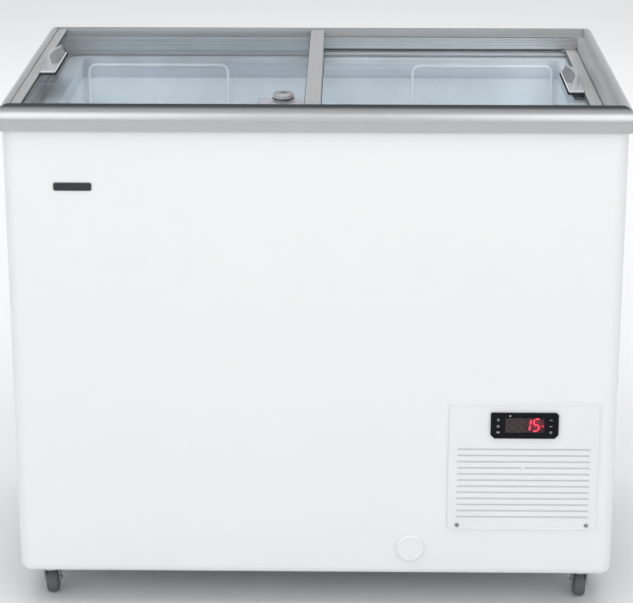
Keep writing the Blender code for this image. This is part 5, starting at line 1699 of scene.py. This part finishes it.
@dataclass
class Machinery:
    """The cooling unit behind the grille."""

    def build(self) -> None:
        """Builds the unit's small pieces and dresses its nodes."""
        dress(Finishes.FINS, "condenser")
        dress(Finishes.ZINC, "fan_shroud")
        dress(Finishes.FAN, "fan_blade")
        dress(Finishes.MOTOR, "fan_motor")
        dress(Finishes.ENAMEL, "compressor")
        dress(Finishes.BLACK, "relay_box")
        dress(Finishes.COPPER, "filter_drier", "discharge_pipe")
        self.build_bends()
        self.build_guard()
        self.build_fixings()

    def build_bends(self) -> None:
        """Builds the tube bends at the side of the condenser."""
        low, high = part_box("condenser")
        middle = (low.y + high.y) / 2
        bends = Shape()
        for i in range(7):
            z = low.z + 0.022 + i * 0.030
            route = [(low.x + 0.004, middle, z)]
            route += [(low.x - 0.004 - 0.0075 * math.sin(math.radians(t)), middle,
                       z + 0.0075 - 0.0075 * math.cos(math.radians(t))) for t in range(0, 181, 15)]
            route += [(low.x + 0.004, middle, z + 0.015)]
            bends.tube(route, 0.0032, 12)
        bends.piece("condenser_bends", Finishes.COPPER, "cabinet", "copper", smooth=60.0)

    def build_guard(self) -> None:
        """Builds the wire guard in front of the fan."""
        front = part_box("fan_shroud")[0].y
        fan_low, fan_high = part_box("fan_blade")
        centre = ((fan_low.x + fan_high.x) / 2, front - 0.0065, (fan_low.z + fan_high.z) / 2)
        guard = Shape()
        for radius in (0.028, 0.050, 0.072, 0.096):
            ring = [(centre[0] + radius * math.cos(t), centre[1], centre[2] + radius * math.sin(t))
                    for t in [2 * math.pi * i / 48 for i in range(48)]]
            guard.tube(ring, 0.0008, 8, closed=True)
        for i in range(4):
            turn = math.pi / 4 + math.pi / 2 * i
            ends = [(centre[0] + r * math.cos(turn), centre[1] + 0.0008, centre[2] + r * math.sin(turn))
                    for r in (0.027, 0.060, 0.098)]
            guard.tube(ends, 0.0009, 8)
        guard.piece("fan_guard", Finishes.MOTOR, "cabinet", "motor_steel", smooth=60.0)

    def build_fixings(self) -> None:
        """Builds the compressor's grommets, the relay's ribs and the motor's screws."""
        low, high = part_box("compressor")
        x, y = (low.x + high.x) / 2, (low.y + high.y) / 2
        grommets = Shape()
        for sign_x in (-1, 1):
            for sign_y in (-1, 1):
                ring = [(0.0092, 0.0008), (0.0135, 0.0008), (0.0140, 0.0030), (0.0120, 0.0050), (0.0120, 0.0090),
                        (0.0138, 0.0110), (0.0138, 0.0150), (0.0092, 0.0150)]
                grommets.turned(ring, (x + sign_x * 0.062, y + sign_y * 0.062, low.z), Axis.Z, 32, ring=True)
        grommets.piece("compressor_grommets", Finishes.PAD_RUBBER_AND_SHADOW, "cabinet", "pad_rubber", smooth=35.0)
        low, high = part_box("relay_box")
        ribs = Shape()
        for i in range(6):
            z = low.z + 0.014 + i * (high.z - low.z - 0.028) / 5
            ribs.block((low.x - 0.0007, low.y + 0.006, z - 0.0012), (low.x + 0.001, high.y - 0.006, z + 0.0012))
        ribs.piece("relay_ribs", Finishes.BLACK, "cabinet", "controller_plastic", bevel=0.0004)
        low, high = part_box("fan_motor")
        centre_x, centre_z = (low.x + high.x) / 2, high.z - 0.029
        screws = Shape()
        for i in range(4):
            turn = math.pi / 4 + math.pi / 2 * i
            at = (centre_x + 0.021 * math.cos(turn), high.y, centre_z + 0.021 * math.sin(turn))
            screws.turned([(0, 0.0016), (0.0020, 0.0014), (0.0026, 0.0), (0.0026, -0.0006), (0, -0.0006)], at, Axis.Y,
                          16)
        screws.piece("motor_screws", Finishes.SCREW, "cabinet", "screw_steel", smooth=50.0)


# ---------------------------------------------------------------- studio


@dataclass
class Softbox:
    """A soft rectangular light that points at a target."""

    name: str
    at: Point
    size: Flat
    power: float
    target: Point = (0.0, 0.0, 0.5)
    mirrored: bool = True

    def build(self) -> None:
        """Builds the light."""
        data = bpy.data.lights.new(self.name, "AREA")
        data.shape = "RECTANGLE"
        data.size, data.size_y = self.size
        data.energy = self.power
        lamp = bpy.data.objects.new(self.name, data)
        lamp.location = self.at
        lamp.visible_glossy = self.mirrored
        lamp.visible_camera = False
        aim = Vector(self.target) - Vector(self.at)
        lamp.rotation_euler = aim.to_track_quat("-Z", "Y").to_euler()
        bpy.context.scene.collection.objects.link(lamp)


@dataclass
class Studio:
    """Pale floor, soft light and the camera."""

    camera_at: Point = (0.0555, -3.69, 1.69)
    pitch: float = 17.4
    yaw: float = 0.9
    lens: float = 122.7
    shift: float = -0.07
    softboxes: tuple[Softbox, ...] = (
        Softbox("overhead", (0.0, -0.6, 3.2), (3.0, 2.2), 44.0, mirrored=False),
        Softbox("front_left", (-2.1, -3.4, 2.3), (3.6, 2.5), 31.0),
        Softbox("front_right", (2.1, -3.4, 2.3), (3.6, 2.5), 31.0),
        Softbox("chest_front", (0.0, -0.245, 0.825), (0.84, 0.03), 0.36, (0.0, 0.25, 0.62), mirrored=False),
        Softbox("chest_rear", (0.0, 0.245, 0.825), (0.84, 0.03), 0.23, (0.0, -0.25, 0.62), mirrored=False),
        Softbox("chest_left", (-0.430, 0.0, 0.825), (0.46, 0.03), 0.20, (0.30, 0.0, 0.60), mirrored=False),
        Softbox("chest_right", (0.430, 0.0, 0.825), (0.46, 0.03), 0.20, (-0.30, 0.0, 0.60), mirrored=False),
        Softbox("behind", (0.0, 3.4, 3.8), (6.0, 4.0), 180.0, (0.0, 3.2, 0.0), mirrored=False))

    def build(self) -> None:
        """Builds the studio."""
        self.build_floor()
        self.build_sky()
        for softbox in self.softboxes:
            softbox.build()
        self.build_camera()

    def build_floor(self) -> None:
        """Builds the floor."""
        shape = Shape()
        reach = 14.0
        shape.mesh.faces.new([shape.mesh.verts.new(Vector((x, y, 0.0)))
                              for x, y in ((-reach, -reach), (reach, -reach), (reach, reach), (-reach, reach))])
        data = bpy.data.meshes.new("floor")
        shape.mesh.to_mesh(data)
        shape.mesh.free()
        data.materials.append(Finishes.FLOOR.material())
        floor = bpy.data.objects.new("floor", data)
        bpy.context.scene.collection.objects.link(floor)

    def build_sky(self) -> None:
        """Builds the soft surroundings, darker high at the back."""
        world = bpy.data.worlds.new("studio")
        world.use_nodes = True
        maker = Maker(world.node_tree)
        way = maker.node("ShaderNodeTexCoord").outputs["Generated"]
        back = maker.part_of(way, Axis.Y).step(-0.45, 0.15)
        high = maker.part_of(way, Axis.Z).step(0.08, 0.26)
        across = maker.part_of(way, Axis.X)
        middle = 1.0 - (across * across).step(0.12, 0.55)
        sky = maker.blend(back * high * middle, (0.78, 0.785, 0.79), (0.12, 0.125, 0.13))
        horizon = 1.0 - maker.part_of(way, Axis.Z).step(0.02, 0.12)
        colour = maker.blend(horizon, sky, (1.01, 1.015, 1.02))
        light = maker.node("ShaderNodeBackground", None, {"Color": colour, "Strength": 0.75})
        maker.node("ShaderNodeOutputWorld", None, {"Surface": light.outputs[0]})
        bpy.context.scene.world = world

    def build_camera(self) -> None:
        """Builds the camera."""
        data = bpy.data.cameras.new("camera")
        data.lens = self.lens
        data.sensor_width = 36.0
        data.shift_y = self.shift
        data.clip_end = 60.0
        camera = bpy.data.objects.new("camera", data)
        camera.location = self.camera_at
        camera.rotation_euler = (math.radians(90.0 - self.pitch), 0.0, math.radians(self.yaw))
        bpy.context.scene.collection.objects.link(camera)
        bpy.context.scene.camera = camera


def main() -> None:
    """Builds every sub-assembly in order, then the studio."""
    logging.basicConfig(level=logging.INFO, format="%(name)s: %(message)s")
    castors = [Castor(f"{end}_{side}") for end in ("front", "rear") for side in ("left", "right")]
    assemblies = (Body(), Rim(), Lids(), Chest(), Grille(), Controller(), Drain(), Machinery(), *castors, Studio())
    for assembly in assemblies:
        LOG.info("building %s", type(assembly).__name__)
        assembly.build()
    bpy.context.scene.view_settings.view_transform = "Standard"


if __name__ == "__main__":
    main()
